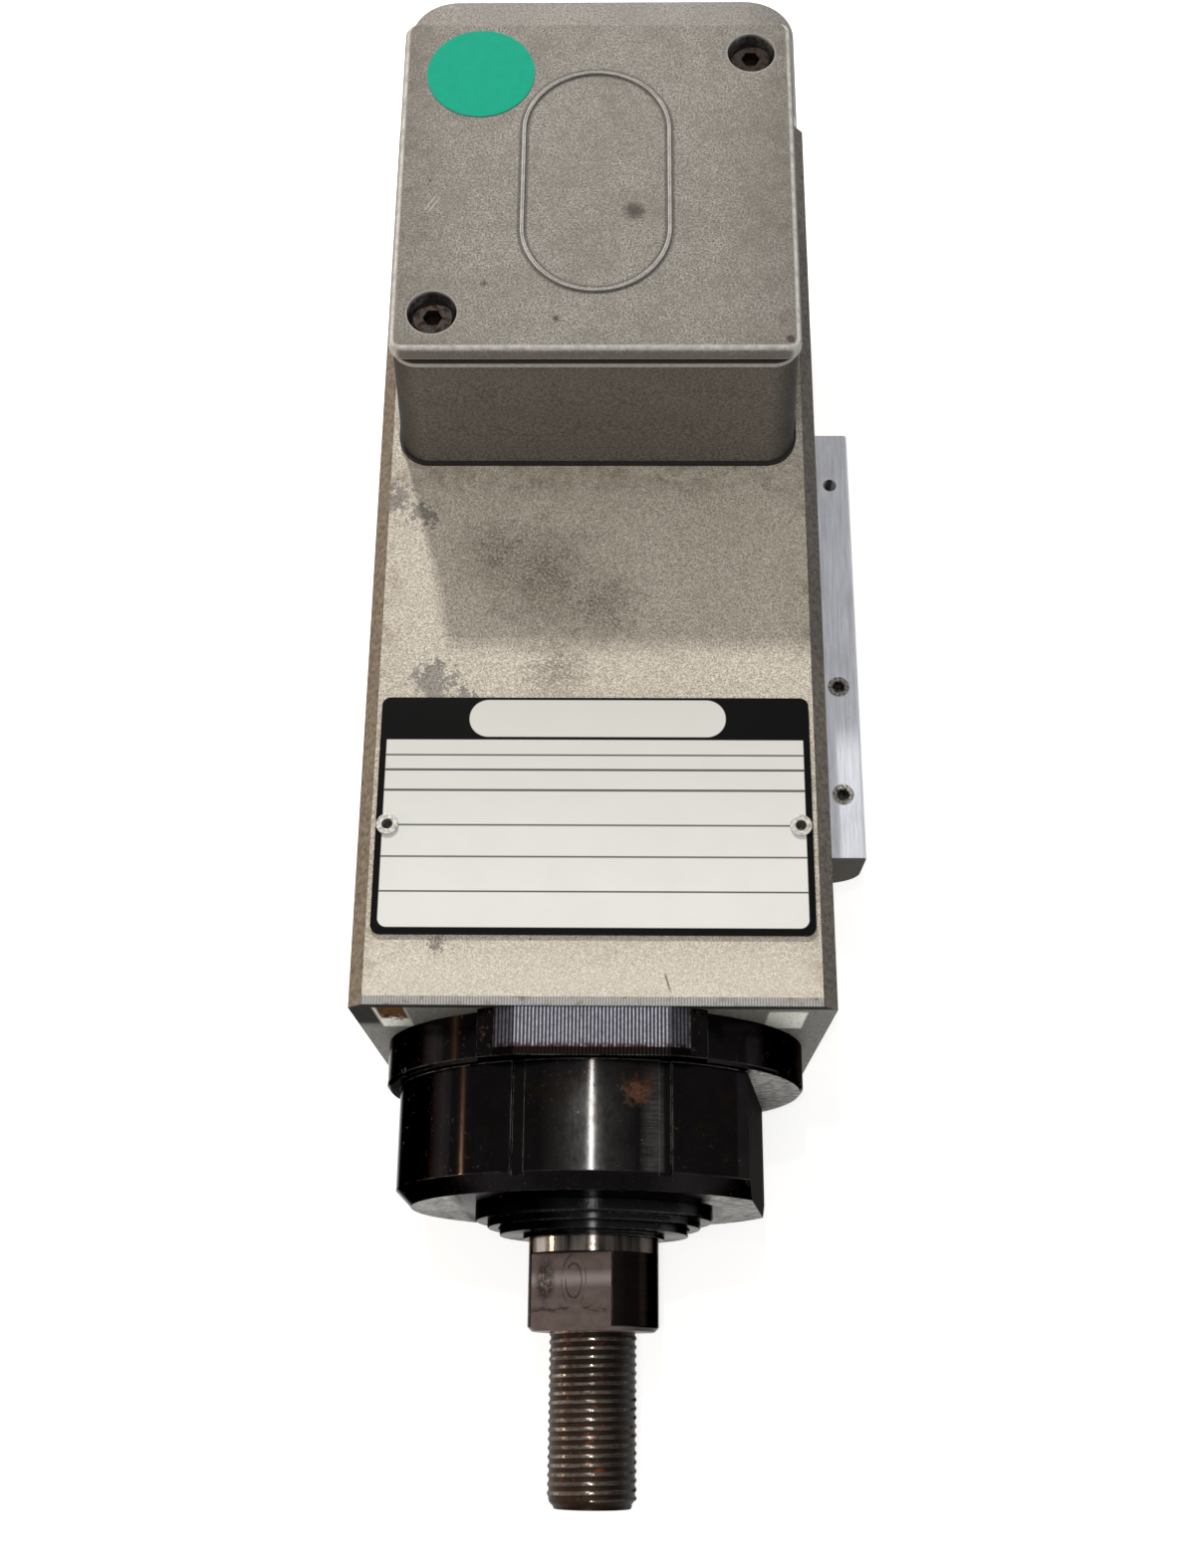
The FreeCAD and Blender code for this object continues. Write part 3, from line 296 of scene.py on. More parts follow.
    def sharp_edges(self, radius):
        """One on sharp edges within this radius in millimetres, nought on flat ground."""
        worn = self.nodes.new("ShaderNodeBevel")
        worn.samples = 4
        worn.inputs["Radius"].default_value = radius / 1000
        plain = self.nodes.new("ShaderNodeNewGeometry")
        turn = self.nodes.new("ShaderNodeVectorMath")
        turn.operation = "DOT_PRODUCT"
        self.links.new(worn.outputs[0], turn.inputs[0])
        self.links.new(plain.outputs["Normal"], turn.inputs[1])
        return self.span(turn.outputs["Value"], 0.7, 0.98, 1.0, 0.0)

    def turned(self, share):
        """Draws highlights out along the shaft, as on metal that was turned about it."""
        self.shader.inputs["Anisotropic"].default_value = share
        self.shader.inputs["Anisotropic Rotation"].default_value = 0.25
        lathe = self.nodes.new("ShaderNodeTangent")
        lathe.direction_type = "RADIAL"
        lathe.axis = "Y"
        self.links.new(lathe.outputs[0], self.shader.inputs["Tangent"])

    def cover(self, *names):
        for name in names:
            nodes[name].data.materials.clear()
            nodes[name].data.materials.append(self.material)


paint = Finish("hammered_beige_paint", 0.0, 0.55, 0.3)
grain = paint.span(paint.noise(0.3, 3.0, 0.65), 0.36, 0.64)
glint = paint.span(paint.noise(0.9, 3.0, 0.65), 0.35, 0.65)
cloud = paint.span(paint.noise(14.0, 4.0, 0.6), 0.35, 0.7)
base = paint.mix(grain, tint(136, 129, 117), tint(240, 234, 223))
base = paint.mix(paint.all_of(glint, 0.35), base, tint(196, 184, 162))
base = paint.mix(paint.all_of(cloud, 0.2), base, tint(164, 152, 132))
# Painted light: the paint is coloured lighter towards the front end, as if it stood nearer the lamps over the
# lens.
painted_front_light = paint.span(paint.y, 68.0, 58.0)
base = paint.mix(paint.all_of(painted_front_light, 0.35), base, tint(236, 228, 214))
smudge = paint.any_of(
    paint.spot(-19.0, 139.0, 5.0, 4.0, 9.0),
    paint.spot(-10.0, 134.0, 8.0, 6.0, 10.0),
    paint.spot(1.0, 128.5, 5.0, 4.0, 9.0),
    paint.spot(-7.0, 115.0, 4.0, 4.0, 9.0),
)
smudge = paint.all_of(smudge, paint.span(paint.noise(0.45, 4.0, 0.75), 0.42, 0.58, 0.1, 0.8))
base = paint.mix(smudge, base, tint(88, 73, 57))
scuff = paint.any_of(
    paint.spot(-38.0, 151.0, 2.6, 0.4, 6.5),
    paint.spot(-33.0, 147.5, 2.2, 0.4, 6.0),
    paint.spot(-30.0, 112.6, 3.4, 0.5, 7.0),
    paint.spot(-24.0, 109.6, 1.8, 0.4, 5.0),
    paint.spot(-27.4, 62.8, 1.2, 0.4, 3.6),
)
base = paint.mix(paint.all_of(scuff, 0.8), base, paint.mix(grain, tint(92, 89, 87), tint(146, 142, 138)))
by_gasket = paint.all_of(
    paint.window(paint.y, 152.0, 159.0, 3.0), paint.span(paint.noise(2.4, 5.0, 0.7), 0.44, 0.64)
)
base = paint.mix(paint.all_of(by_gasket, 0.45), base, tint(96, 78, 58))
upper_side = paint.span(paint.facing_z, 0.5, 0.8)
dirt = paint.all_of(
    upper_side, paint.span(paint.away(paint.x), 35.0, 41.0), paint.span(paint.noise(5.0, 5.0, 0.7), 0.5, 0.62)
)
base = paint.mix(paint.all_of(dirt, 0.5), base, tint(118, 98, 76))
handled = paint.all_of(paint.without(upper_side), paint.span(paint.noise(26.0, 4.0, 0.6), 0.42, 0.7))
base = paint.mix(paint.all_of(handled, 0.35), base, tint(150, 136, 116))
fleck = paint.all_of(
    paint.span(paint.noise(0.8, 2.0), 0.74, 0.78), paint.span(paint.noise(20.0, 2.0), 0.4, 0.55)
)
base = paint.mix(fleck, base, tint(78, 56, 40))
nick = paint.all_of(
    paint.window(paint.y, 54.6, 57.6, 0.4),
    paint.window(paint.math("ADD", paint.x, paint.all_of(paint.y, 0.3)), 29.7, 29.95, 0.15),
)
base = paint.mix(nick, base, tint(70, 60, 52))
bevel = paint.all_of(
    paint.span(paint.away(paint.facing_x), 0.4, 0.6),
    paint.span(paint.away(paint.facing_z), 0.4, 0.6),
)
grime = paint.span(paint.noise(0.9, 4.0, 0.65), 0.3, 0.7)
# Both bevels are grimy; the right one is also coloured darker as painted shade.
left_bevel = paint.mix(grime, tint(82, 70, 56), tint(142, 129, 110))
right_bevel_painted_shade = paint.mix(grime, tint(50, 44, 38), tint(112, 104, 95))
base = paint.mix(bevel, base, paint.mix(paint.span(paint.x, -1.0, 1.0), left_bevel, right_bevel_painted_shade))
front_edge = paint.all_of(paint.span(paint.y, 53.5, 53.65, 1.0, 0.0), paint.span(paint.facing_z, 0.7, 0.9))
tick = paint.span(paint.math("SINE", paint.all_of(paint.x, 2 * math.pi / 0.5)), -1.0, 1.0)
tick = paint.all_of(tick, paint.span(paint.noise(1.5, 3.0), 0.2, 0.5))
milled = paint.mix(tick, tint(132, 130, 128), tint(182, 180, 178))
milled = paint.mix(paint.span(paint.noise(2.2, 4.0, 0.7), 0.56, 0.7), milled, tint(116, 98, 84))
base = paint.mix(front_edge, base, milled)
front_face = paint.span(paint.facing_y, -0.9, -0.6, 1.0, 0.0)
fine_face = paint.span(paint.noise(0.6, 4.0, 0.65), 0.35, 0.65)
faced = paint.mix(fine_face, tint(108, 106, 100), tint(142, 140, 133))
bright_patch = paint.any_of(
    paint.all_of(paint.window(paint.x, 30.8, 37.6, 0.2), paint.window(paint.z, 22.0, 35.6, 0.5)),
    paint.all_of(paint.window(paint.x, -38.2, -32.6, 0.2), paint.window(paint.z, 22.0, 37.4, 0.5)),
)
faced = paint.mix(bright_patch, faced, paint.mix(fine_face, tint(206, 209, 198), tint(246, 247, 238)))
yellow_rust = paint.all_of(
    paint.window(paint.x, -37.8, -32.8, 0.3),
    paint.span(paint.math("ADD", paint.z, paint.all_of(paint.noise(1.3, 4.0, 0.65), 16.0)), 36.5, 37.5),
)
rust_grain = paint.span(paint.noise(0.9, 4.0, 0.7), 0.35, 0.65)
faced = paint.mix(yellow_rust, faced, paint.mix(rust_grain, tint(26, 13, 3), tint(134, 88, 20)))
# Painted shade: a dark band along the top of the front face, under its edge, and a dark strip up its upper
# left edge.
left_edge_painted_shade = paint.all_of(paint.span(paint.x, -38.2, -38.6), paint.span(paint.z, 20.0, 26.0))
lip_painted_shade = paint.any_of(paint.span(paint.z, 37.3, 37.9), left_edge_painted_shade)
faced = paint.mix(paint.all_of(lip_painted_shade, 0.92), faced, tint(34, 30, 28))
base = paint.mix(front_face, base, faced)
paint.colour(base)
paint_rough = paint.math("SUBTRACT", paint.span(grain, 0.0, 1.0, 0.62, 0.42), paint.all_of(front_edge, 0.1))
paint.rough(paint.math("MAXIMUM", paint_rough, paint.all_of(front_face, paint.any_of(yellow_rust, lip_painted_shade))))
paint.metal(paint.all_of(front_face, bright_patch, paint.without(paint.any_of(yellow_rust, lip_painted_shade))))
paint.relief(grain, 0.05, 0.25)
paint.cover("motor_housing")

# Rear shield and fan cover. The shield is a die-cast plate with the rear bearing's boss, and the
# cover is a light grey cowl with a slotted rear wall, screwed on through its pillars.
cowl = Finish("light_grey_cowl_paint", 0.0, 0.6, 0.25)
speckle = cowl.span(cowl.noise(0.45, 3.0, 0.65), 0.34, 0.66)
haze = cowl.span(cowl.noise(18.0, 3.0, 0.55), 0.35, 0.7)
cowl_shade = cowl.mix(speckle, tint(116, 112, 107), tint(176, 172, 167))
cowl.colour(cowl.mix(cowl.all_of(haze, 0.5), cowl_shade, tint(128, 124, 119)))
cowl.relief(speckle, 0.03, 0.4)
cowl.cover("fan_cover")
shield = Finish("die_cast_shield", 0.6, 0.5)
cast = shield.noise(0.6, 3.0, 0.6)
shield.colour(shield.mix(cast, tint(140, 138, 134), tint(176, 174, 170)))
shield.relief(cast, 0.03, 0.3)
shield.cover("rear_shield")


def plain_finish(name, metallic, roughness, spots, shades, grain_spots, bump, *covered):
    """Covers nodes with a finish of two shades in soft spots, over a fine grain."""
    finish = Finish(name, metallic, roughness)
    finish.colour(finish.mix(finish.noise(*spots), *shades))
    finish.relief(finish.noise(*grain_spots), *bump)
    finish.cover(*covered)


plain_finish(
    "black_moulded_fan", 0.0, 0.42, (3.0, 2.0), (tint(26, 26, 27), tint(40, 40, 41)),
    (0.4, 2.0), (0.01, 0.3), "cooling_fan",
)

# Nose. Turned steel in black oxide, screwed to the housing from inside. The barrel is glossy and
# worn grey along its middle, where a painted sheen also lies round the highlight line, and a painted
# reflection lightens its left side; the lug on top was milled flat with the housing, the faces show
# bare turned steel and rust, and a painted highlight runs along the sharp edges.
black = Finish("black_oxide_steel", 1.0, 0.24, 0.5, 0.12)
black.turned(0.95)
off_axis = black.distance(black.x, black.z)
on_barrel = black.window(black.y, 24.6, 43.4, 0.15)
between_grooves = black.all_of(black.window(black.x, -12.4, 12.4, 0.15), on_barrel)
streaks = black.span(black.noise(0.5, 5.0, 0.7, (1, 3, 1)), 0.3, 0.7, 0.5, 1.0)
middle = black.window(black.x, -4.8, 4.4, 4.0)
right_strip = black.all_of(
    black.window(black.x, 9.0, 12.6, 1.0),
    black.span(black.noise(0.3, 2.0, 0.5, (20, 1, 20)), 0.35, 0.65, 0.7, 1.6),
)
# This grey is partly wear and partly a painted sheen round the lamp's highlight line down the barrel's
# middle.
worn = black.all_of(black.any_of(middle, right_strip), black.span(black.y, 43.5, 36.0, 0.2, 1.0))
worn = black.all_of(
    between_grooves, worn, streaks, black.span(black.noise(5.0, 4.0, 0.6), 0.3, 0.6, 0.5, 1.0)
)
skin = black.mix(black.noise(6.0, 3.0, 0.6), tint(22, 20, 21), tint(36, 34, 35))
skin = black.mix(worn, skin, tint(96, 96, 95))
# Painted reflection: a lighter band down the barrel's left side.
painted_reflection_left = black.all_of(black.window(black.x, -40.0, -28.0, 5.0), black.window(black.y, 24.6, 52.0, 0.3))
skin = black.mix(black.all_of(painted_reflection_left, 0.7), skin, tint(47, 45, 44))
brown_stain = black.all_of(black.span(black.noise(5.0, 5.0, 0.65), 0.54, 0.64), on_barrel)
skin = black.mix(black.all_of(brown_stain, 0.5), skin, tint(42, 34, 28))
dust = black.span(black.noise(0.4, 4.0, 0.7), 0.63, 0.70)
skin = black.mix(
    black.all_of(dust, black.span(between_grooves, 0.0, 1.0, 0.25, 0.5)), skin, tint(132, 118, 106)
)
lug_top = black.all_of(
    black.span(black.z, 38.3, 38.4),
    black.span(black.facing_z, 0.8, 0.9),
    black.window(black.x, -17.0, 17.0, 0.15),
)
tooth = black.span(black.math("SINE", black.all_of(black.x, 2 * math.pi / 0.64)), -1.0, 1.0)
scored = black.all_of(tooth, black.span(black.noise(0.8, 3.0, 0.7), 0.2, 0.65, 0.35, 1.0))
lug_steel = black.mix(scored, tint(50, 48, 55), tint(160, 160, 172))
lug_rim = black.any_of(black.span(black.y, 45.9, 45.3), black.span(black.away(black.x), 16.5, 16.9))
lug_rim = black.all_of(lug_rim, black.span(black.noise(0.9, 4.0, 0.7), 0.42, 0.54))
lug_steel = black.mix(lug_rim, lug_steel, tint(66, 46, 38))
lug_front = black.span(black.y, 45.1, 44.9)
lug_steel = black.mix(lug_front, lug_steel, tint(24, 20, 19))
skin = black.mix(lug_top, skin, lug_steel)
turned_face = black.all_of(
    black.span(black.facing_y, -0.97, -0.9, 1.0, 0.0),
    black.span(off_axis, 24.0, 24.6),
    black.any_of(
        black.span(black.math("ADD", black.away(black.x, -2.0), black.noise(4.0, 4.0, 0.6)), 21.5, 24.0),
        black.span(black.x, 27.0, 29.0),
    ),
    black.any_of(black.span(black.y, 30.0, 31.0, 1.0, 0.0), black.span(black.x, 27.0, 29.0)),
)
turned_shade = black.mix(
    black.span(black.noise(1.6, 5.0, 0.7), 0.35, 0.65), tint(84, 80, 77), tint(216, 214, 210)
)
skin = black.mix(turned_face, skin, turned_shade)
# Sharp edges are lightened, partly as wear and partly as a painted highlight.
edge_highlight_and_wear = black.all_of(black.sharp_edges(0.35), black.span(black.noise(3.0, 4.0, 0.6), 0.36, 0.56))
skin = black.mix(edge_highlight_and_wear, skin, tint(126, 122, 118))
rust_spots = black.all_of(
    black.span(black.noise(1.3, 5.0, 0.7), 0.63, 0.70), black.span(black.noise(12.0, 2.0), 0.48, 0.6)
)
rust_patch = black.all_of(black.spot(7.9, 38.2, 2.3, 0.9, 3.6), black.span(black.z, 10.0, 12.0))
shoulder_rust = black.all_of(
    black.span(black.z, 30.0, 32.0),
    black.window(black.away(black.x), 17.1, 19.6, 0.4),
    black.span(black.y, 43.4, 43.8),
    black.span(black.noise(1.0, 4.0, 0.7), 0.56, 0.72),
)
grimy_flat = black.span(black.facing_x, 0.9, 0.96)
rusty = black.any_of(rust_spots, rust_patch, shoulder_rust)
red_rust = black.mix(black.span(black.noise(0.5, 4.0, 0.7), 0.3, 0.7), tint(40, 27, 23), tint(94, 64, 48))
skin = black.mix(grimy_flat, skin, black.mix(black.noise(3.0, 4.0, 0.6), tint(34, 27, 23), tint(66, 56, 50)))
black.colour(black.mix(rusty, skin, red_rust))
black.metal(black.without(black.any_of(rusty, black.all_of(turned_face, 0.6))))
matte = black.any_of(
    rusty, black.all_of(lug_top, 0.5), black.all_of(turned_face, 0.5), black.all_of(edge_highlight_and_wear, 0.4)
)
matte = black.any_of(matte, grimy_flat, black.all_of(worn, 0.12))
black.rough(black.span(matte, 0.0, 1.0, 0.125, 0.9))
lug_grooves = black.all_of(tooth, lug_top)
turning = black.noise(0.4, 2.0, 0.5, (40, 1, 40))
pitted = black.all_of(rusty, black.noise(0.5, 3.0, 0.6))
relief_sum = black.math("ADD", black.all_of(lug_grooves, 0.8), black.all_of(turning, 0.05))
black.relief(black.math("ADD", relief_sum, pitted), 0.04, 0.3)
black.cover("nose_housing")

# Labyrinth seal. Two turned steel discs in black oxide, one pressed into the nose and one that
# turns with the shaft. The fixed one stands out in a stepped flange, oily and with specks of dust.
weld_distance = 0.000001


def edit_everything():
    """Enters edit mode with the whole mesh selected."""
    bpy.ops.object.mode_set(mode="EDIT")
    bpy.ops.mesh.select_all(action="SELECT")


def start_profile(name, radius, y):
    """Leaves a new piece in edit mode as one point beside the shaft's axis."""
    bpy.ops.mesh.primitive_plane_add(size=0.001, location=(radius, y, 0.0))
    piece = bpy.context.object
    piece.name = name
    bpy.ops.object.transform_apply(location=True)
    bpy.ops.object.mode_set(mode="EDIT")
    bpy.ops.mesh.merge(type="CENTER")
    return piece


def draw_profile(steps):
    """Draws the profile's line from its last point, by steps outwards and along the axis."""
    for outwards, along in steps:
        bpy.ops.mesh.extrude_vertices_move(TRANSFORM_OT_translate={"value": (outwards, along, 0.0)})


def sweep_profile(piece, name, steps, turns=1, pitch=0.0):
    """Turns the profile about the shaft's axis, once or as a screw, and closes its seam."""
    sweep = piece.modifiers.new(name, "SCREW")
    sweep.axis = "Y"
    sweep.angle = 2 * math.pi
    sweep.steps = sweep.render_steps = steps
    sweep.iterations = turns
    sweep.screw_offset = pitch
    sweep.use_merge_vertices = True
    sweep.merge_threshold = weld_distance
    bpy.context.view_layer.objects.active = piece
    bpy.ops.object.modifier_apply(modifier=name)
    bpy.ops.object.select_all(action="DESELECT")
    piece.select_set(True)
    edit_everything()
    bpy.ops.mesh.remove_doubles(threshold=2 * weld_distance)


cover_bore_radius, hub_front_y = 0.01355, 0.0206
cover_steps = (
    (0.0019, 0.0), (0.0, 0.0032), (0.0025, 0.0), (0.0, -0.0055), (0.0018, 0.0), (0.0002, 0.0002),
    (0.0, 0.0010), (0.0020, 0.0), (0.0003, 0.0003), (0.0, 0.00188), (-0.0039, 0.0), (0.0, 0.0040),
    (-0.0048, 0.0),
)
cover_disc = start_profile("labyrinth_flange", cover_bore_radius, hub_front_y)
draw_profile(cover_steps)
bpy.ops.mesh.select_all(action="SELECT")
bpy.ops.mesh.edge_face_add()
bpy.ops.mesh.delete(type="ONLY_FACE")
bpy.ops.object.mode_set(mode="OBJECT")
sweep_profile(cover_disc, "lathe_turn", 128)
bpy.ops.mesh.normals_make_consistent(inside=False)
bpy.ops.object.mode_set(mode="OBJECT")
bpy.ops.object.shade_smooth_by_angle(angle=math.radians(30))
oiled = Finish("oiled_black_steel", 1.0, 0.22, 0.5, 0.2)
oiled.turned(0.9)
# Painted shade: surfaces facing left are coloured near black and made dull, which hides the warm lamp's
# highlight; dust and bright rims stay off them.
clear_of_painted_left_shade = oiled.span(oiled.facing_x, -0.45, -0.2)
dust = oiled.all_of(clear_of_painted_left_shade, oiled.span(oiled.noise(0.45, 4.0, 0.7), 0.64, 0.72))
# Light rims are partly wear and partly a painted highlight.
rim_highlight_and_wear = oiled.all_of(clear_of_painted_left_shade, oiled.sharp_edges(0.15), oiled.span(oiled.noise(0.7, 4.0, 0.7), 0.45, 0.6))
oiled_shade = oiled.mix(dust, oiled.mix(clear_of_painted_left_shade, tint(10, 9, 9), tint(46, 45, 46)), tint(112, 109, 108))
oiled.colour(oiled.mix(rim_highlight_and_wear, oiled_shade, tint(170, 168, 166)))
dull = (0.7, 0.7, 0.7, 1.0)
oiled.rough(oiled.mix(clear_of_painted_left_shade, dull, oiled.span(dust, 0.0, 1.0, 0.2, 0.6)))
oiled.relief(oiled.noise(0.35, 3.0), 0.015, 0.25)
oiled.cover("labyrinth_ring")
cover_disc.data.materials.append(oiled.material)
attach(cover_disc, "motor")
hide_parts("labyrinth_cover")
bpy.ops.object.select_all(action="DESELECT")

# Screws and rivets. Black socket head cap screws, rusty in their sockets, zinc-plated ones in the
# fan cover and the box, grub screws with crusty rims, and two hollow aluminium rivets.
black_screw = Finish("black_cap_screw", 0.6, 0.5, 0.3, 0.4)
red = black_screw.span(black_screw.noise(1.1, 4.0, 0.65), 0.48, 0.6)
black_screw.colour(black_screw.mix(red, tint(38, 34, 32), tint(56, 36, 29)))
black_screw.rough(black_screw.span(red, 0.0, 1.0, 0.45, 0.85))
black_screw.relief(black_screw.noise(0.4, 3.0), 0.03, 0.25)
black_screw.cover("nose_screws", "retainer_screws", "shield_screws", "lid_screws", "side_bar_screws")
plain_finish(
    "plated_screw", 1.0, 0.32, (1.4, 3.0), (tint(150, 148, 142), tint(206, 204, 198)),
    (0.5, 3.0), (0.02, 0.2), "fan_cover_screws", "box_screws",
)
grub = Finish("grub_screw_steel", 0.9, 0.3)
grub_x, front_grub_y, rear_grub_y = 46.3, 94.9, 116.8
near_grub = grub.math(
    "MINIMUM",
    grub.round_about(grub.x, grub_x, grub.y, front_grub_y),
    grub.round_about(grub.x, grub_x, grub.y, rear_grub_y),
)
# Painted shade: the socket's inside is coloured dark and crusty.
socket_painted_shade = grub.span(near_grub, 1.1, 1.35, 1.0, 0.0)
crust = grub.span(grub.noise(0.5, 4.0, 0.7), 0.42, 0.6)
ring_shade = grub.mix(crust, tint(214, 212, 208), tint(112, 106, 98))
grub.colour(grub.mix(socket_painted_shade, ring_shade, grub.mix(grub.without(crust), tint(24, 22, 20), tint(120, 116, 112))))
grub.relief(crust, 0.12)
grub.cover("side_bar_grub_screws")
rivet = Finish("rivet_aluminium", 0.7, 0.38)
rivet_x, rivet_y = 36.8, 84.4
near_rivet = rivet.round_about(rivet.away(rivet.x), rivet_x, rivet.y, rivet_y)
# Painted shade: the rivets' holes are coloured near black.
hollow_painted_shade = rivet.span(near_rivet, 0.85, 1.0, 1.0, 0.0)
rivet_shade = rivet.mix(
    rivet.span(rivet.noise(0.7, 3.0), 0.35, 0.65), tint(164, 160, 154), tint(232, 230, 226)
)
rivet.colour(rivet.mix(hollow_painted_shade, rivet_shade, tint(16, 15, 14)))
rivet.metal(rivet.span(hollow_painted_shade, 0.0, 1.0, 0.7, 0.0))
rivet.relief(rivet.noise(0.5, 3.0), 0.03, 0.25)
rivet.cover("plate_rivets")

# Terminal box. An aluminium die casting, left bare and coloured a shade darker than its blasted
# lid, and screwed on through its floor. The black gasket under it shows as a line; a painted
# highlight brightens its top edge, and painted shade darkens the gap under the lid and its corners.
box_cast = Finish("bare_die_casting", 0.0, 0.72, 0.12)
draw = box_cast.noise(1.3, 3.0, 0.6, (1, 1, 6))
stain = box_cast.span(box_cast.noise(9.0, 4.0, 0.65), 0.4, 0.75)
shade = box_cast.mix(draw, tint(104, 99, 92), tint(116, 111, 104))
shade = box_cast.mix(box_cast.all_of(stain, 0.4), shade, tint(80, 74, 66))
fine_grit = box_cast.span(box_cast.noise(0.5, 3.0, 0.65), 0.36, 0.64)
shade = box_cast.mix(0.45, shade, box_cast.mix(fine_grit, tint(72, 67, 61), tint(150, 144, 136)))
# Painted highlight: a bright band round the top edge of the walls, under the lid.
rim_painted_highlight = box_cast.span(box_cast.z, 70.9, 71.1)
shade = box_cast.mix(
    rim_painted_highlight, shade, box_cast.mix(box_cast.noise(0.6, 3.0), tint(150, 148, 142), tint(206, 204, 200))
)
# Painted shade: the very top of the wall, in the gap under the lid, is darkened.
shade = box_cast.mix(box_cast.span(box_cast.z, 72.1, 72.2), shade, tint(60, 56, 52))
# Painted shade: the rounded corners of the walls are darkened in noisy patches.
round_corner = box_cast.all_of(
    box_cast.span(box_cast.away(box_cast.facing_x), 0.15, 0.85),
    box_cast.span(box_cast.facing_y, 0.1, -0.1),
    box_cast.span(box_cast.z, 70.9, 70.4),
)
box_corner_painted_shade = box_cast.all_of(
    round_corner, box_cast.span(box_cast.noise(3.0, 4.0, 0.6), 0.2, 0.5, 0.7, 0.95)
)
shade = box_cast.mix(box_corner_painted_shade, shade, tint(44, 40, 36))
box_cast.colour(shade)
box_cast.relief(fine_grit, 0.05, 0.3)
box_cast.cover("terminal_box")
plain_finish(
    "black_gasket_rubber", 0.0, 0.7, (1.2, 3.0), (tint(18, 18, 18), tint(34, 33, 31)),
    (0.4, 2.0), (0.03, 0.2), "box_gasket",
)
# Painted light: the lid's gasket is coloured light grey so that the gap under the lid does not read as
# shaded.
plain_finish(
    "lightened_gasket_rubber", 0.0, 0.7, (1.2, 3.0), (tint(110, 104, 97), tint(150, 144, 136)),
    (0.4, 2.0), (0.03, 0.2), "lid_gasket",
)

# Lid. Cast aluminium, blasted to a fine sandy grey, with rounded edges that are polished by hands
# and lightened further by a painted highlight, and a raised oval bead round a flat field, with
# painted shade along its foot. Two screws sit in deep recesses, darkened by painted shade.
lid_thickness, bead_stand = 0.0029, 0.0007
corner_round, top_round, tolerance = 0.0026, 0.0013, 0.00001
lid_low, lid_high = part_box("terminal_lid")
lid_top_z = lid_high.z - bead_stand
lid_base_z = lid_top_z - lid_thickness
lid_middle = (lid_low + lid_high) / 2
lid_middle.z = lid_top_z - lid_thickness / 2
lid_size = (lid_high.x - lid_low.x, lid_high.y - lid_low.y, lid_thickness)
bpy.ops.mesh.primitive_cube_add(size=1.0, location=lid_middle, scale=lid_size)
lid = bpy.context.object
lid.name = "cast_lid"
bpy.ops.object.transform_apply(location=True, rotation=True, scale=True)


def select_edges(piece, wanted):
    """Leaves in edit mode only the edges whose two ends pass the test."""
    bpy.ops.object.mode_set(mode="EDIT")
    bpy.ops.mesh.select_mode(type="EDGE")
    bpy.ops.mesh.select_all(action="DESELECT")
    bpy.ops.object.mode_set(mode="OBJECT")
    for edge in piece.data.edges:
        ends = [piece.data.vertices[index].co for index in edge.vertices]
        edge.select = wanted(*ends)
    bpy.ops.object.mode_set(mode="EDIT")


select_edges(lid, lambda first, second: abs(first.z - second.z) > lid_thickness / 2)
bpy.ops.mesh.bevel(offset=corner_round, segments=8, affect="EDGES")
bpy.ops.object.mode_set(mode="OBJECT")
select_edges(lid, lambda first, second: min(first.z, second.z) > lid_top_z - tolerance)
bpy.ops.mesh.bevel(offset=top_round, segments=5, affect="EDGES")
bpy.ops.object.mode_set(mode="OBJECT")


def lid_boolean(operation, radius, low_z, high_z):
    """Joins or cuts a post at each of the lid's two screws."""
    for sign in (-1, 1):
        bpy.ops.object.select_all(action="DESELECT")
        place = [lid_middle[axis] + sign * lid_screw_offset[axis] for axis in (0, 1)] + [(low_z + high_z) / 2]
        bpy.ops.mesh.primitive_cylinder_add(vertices=64, radius=radius, depth=high_z - low_z, location=place)
        post = bpy.context.object
        bpy.ops.object.select_all(action="DESELECT")
        bpy.context.view_layer.objects.active = lid
        joint = lid.modifiers.new("post", "BOOLEAN")
        joint.operation = operation
        joint.object = post
        bpy.ops.object.modifier_apply(modifier="post")
        bpy.data.objects.remove(post)


head_radius, recess_radius, hole_radius, boss_radius = 0.0035, 0.0044, 0.0022, 0.0062
recess_depth, boss_height, over = 0.0056, 0.0052, 0.001
screws_low, screws_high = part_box("lid_screws")
lid_screw_offset = tuple(reach / 2 - head_radius for reach in (screws_high - screws_low).xy)
lid_boolean("UNION", boss_radius, lid_base_z - boss_height, lid_base_z + over)
lid_boolean("DIFFERENCE", recess_radius, lid_top_z - recess_depth, lid_top_z + over)
lid_boolean("DIFFERENCE", hole_radius, lid_base_z - boss_height - over, lid_top_z + over)
bpy.ops.object.select_all(action="DESELECT")
bead_straight, bead_turn_radius, bead_radius, bead_lift = 0.02150, 0.01325, 0.00043, 0.00006
bead_front_y = lid_middle.y - bead_straight / 2
bpy.ops.mesh.primitive_torus_add(
    major_segments=128, minor_segments=16, major_radius=bead_turn_radius, minor_radius=bead_radius,
    location=(lid_middle.x, bead_front_y, lid_top_z + bead_lift),
)
bead = bpy.context.object
bpy.ops.object.transform_apply(location=True, rotation=True, scale=True)
select_edges(bead, lambda first, second: min(first.y, second.y) > bead_front_y - tolerance)
bpy.ops.transform.translate(value=(0.0, bead_straight, 0.0))
bpy.ops.object.mode_set(mode="OBJECT")
lid.select_set(True)
bpy.context.view_layer.objects.active = lid
bpy.ops.object.join()
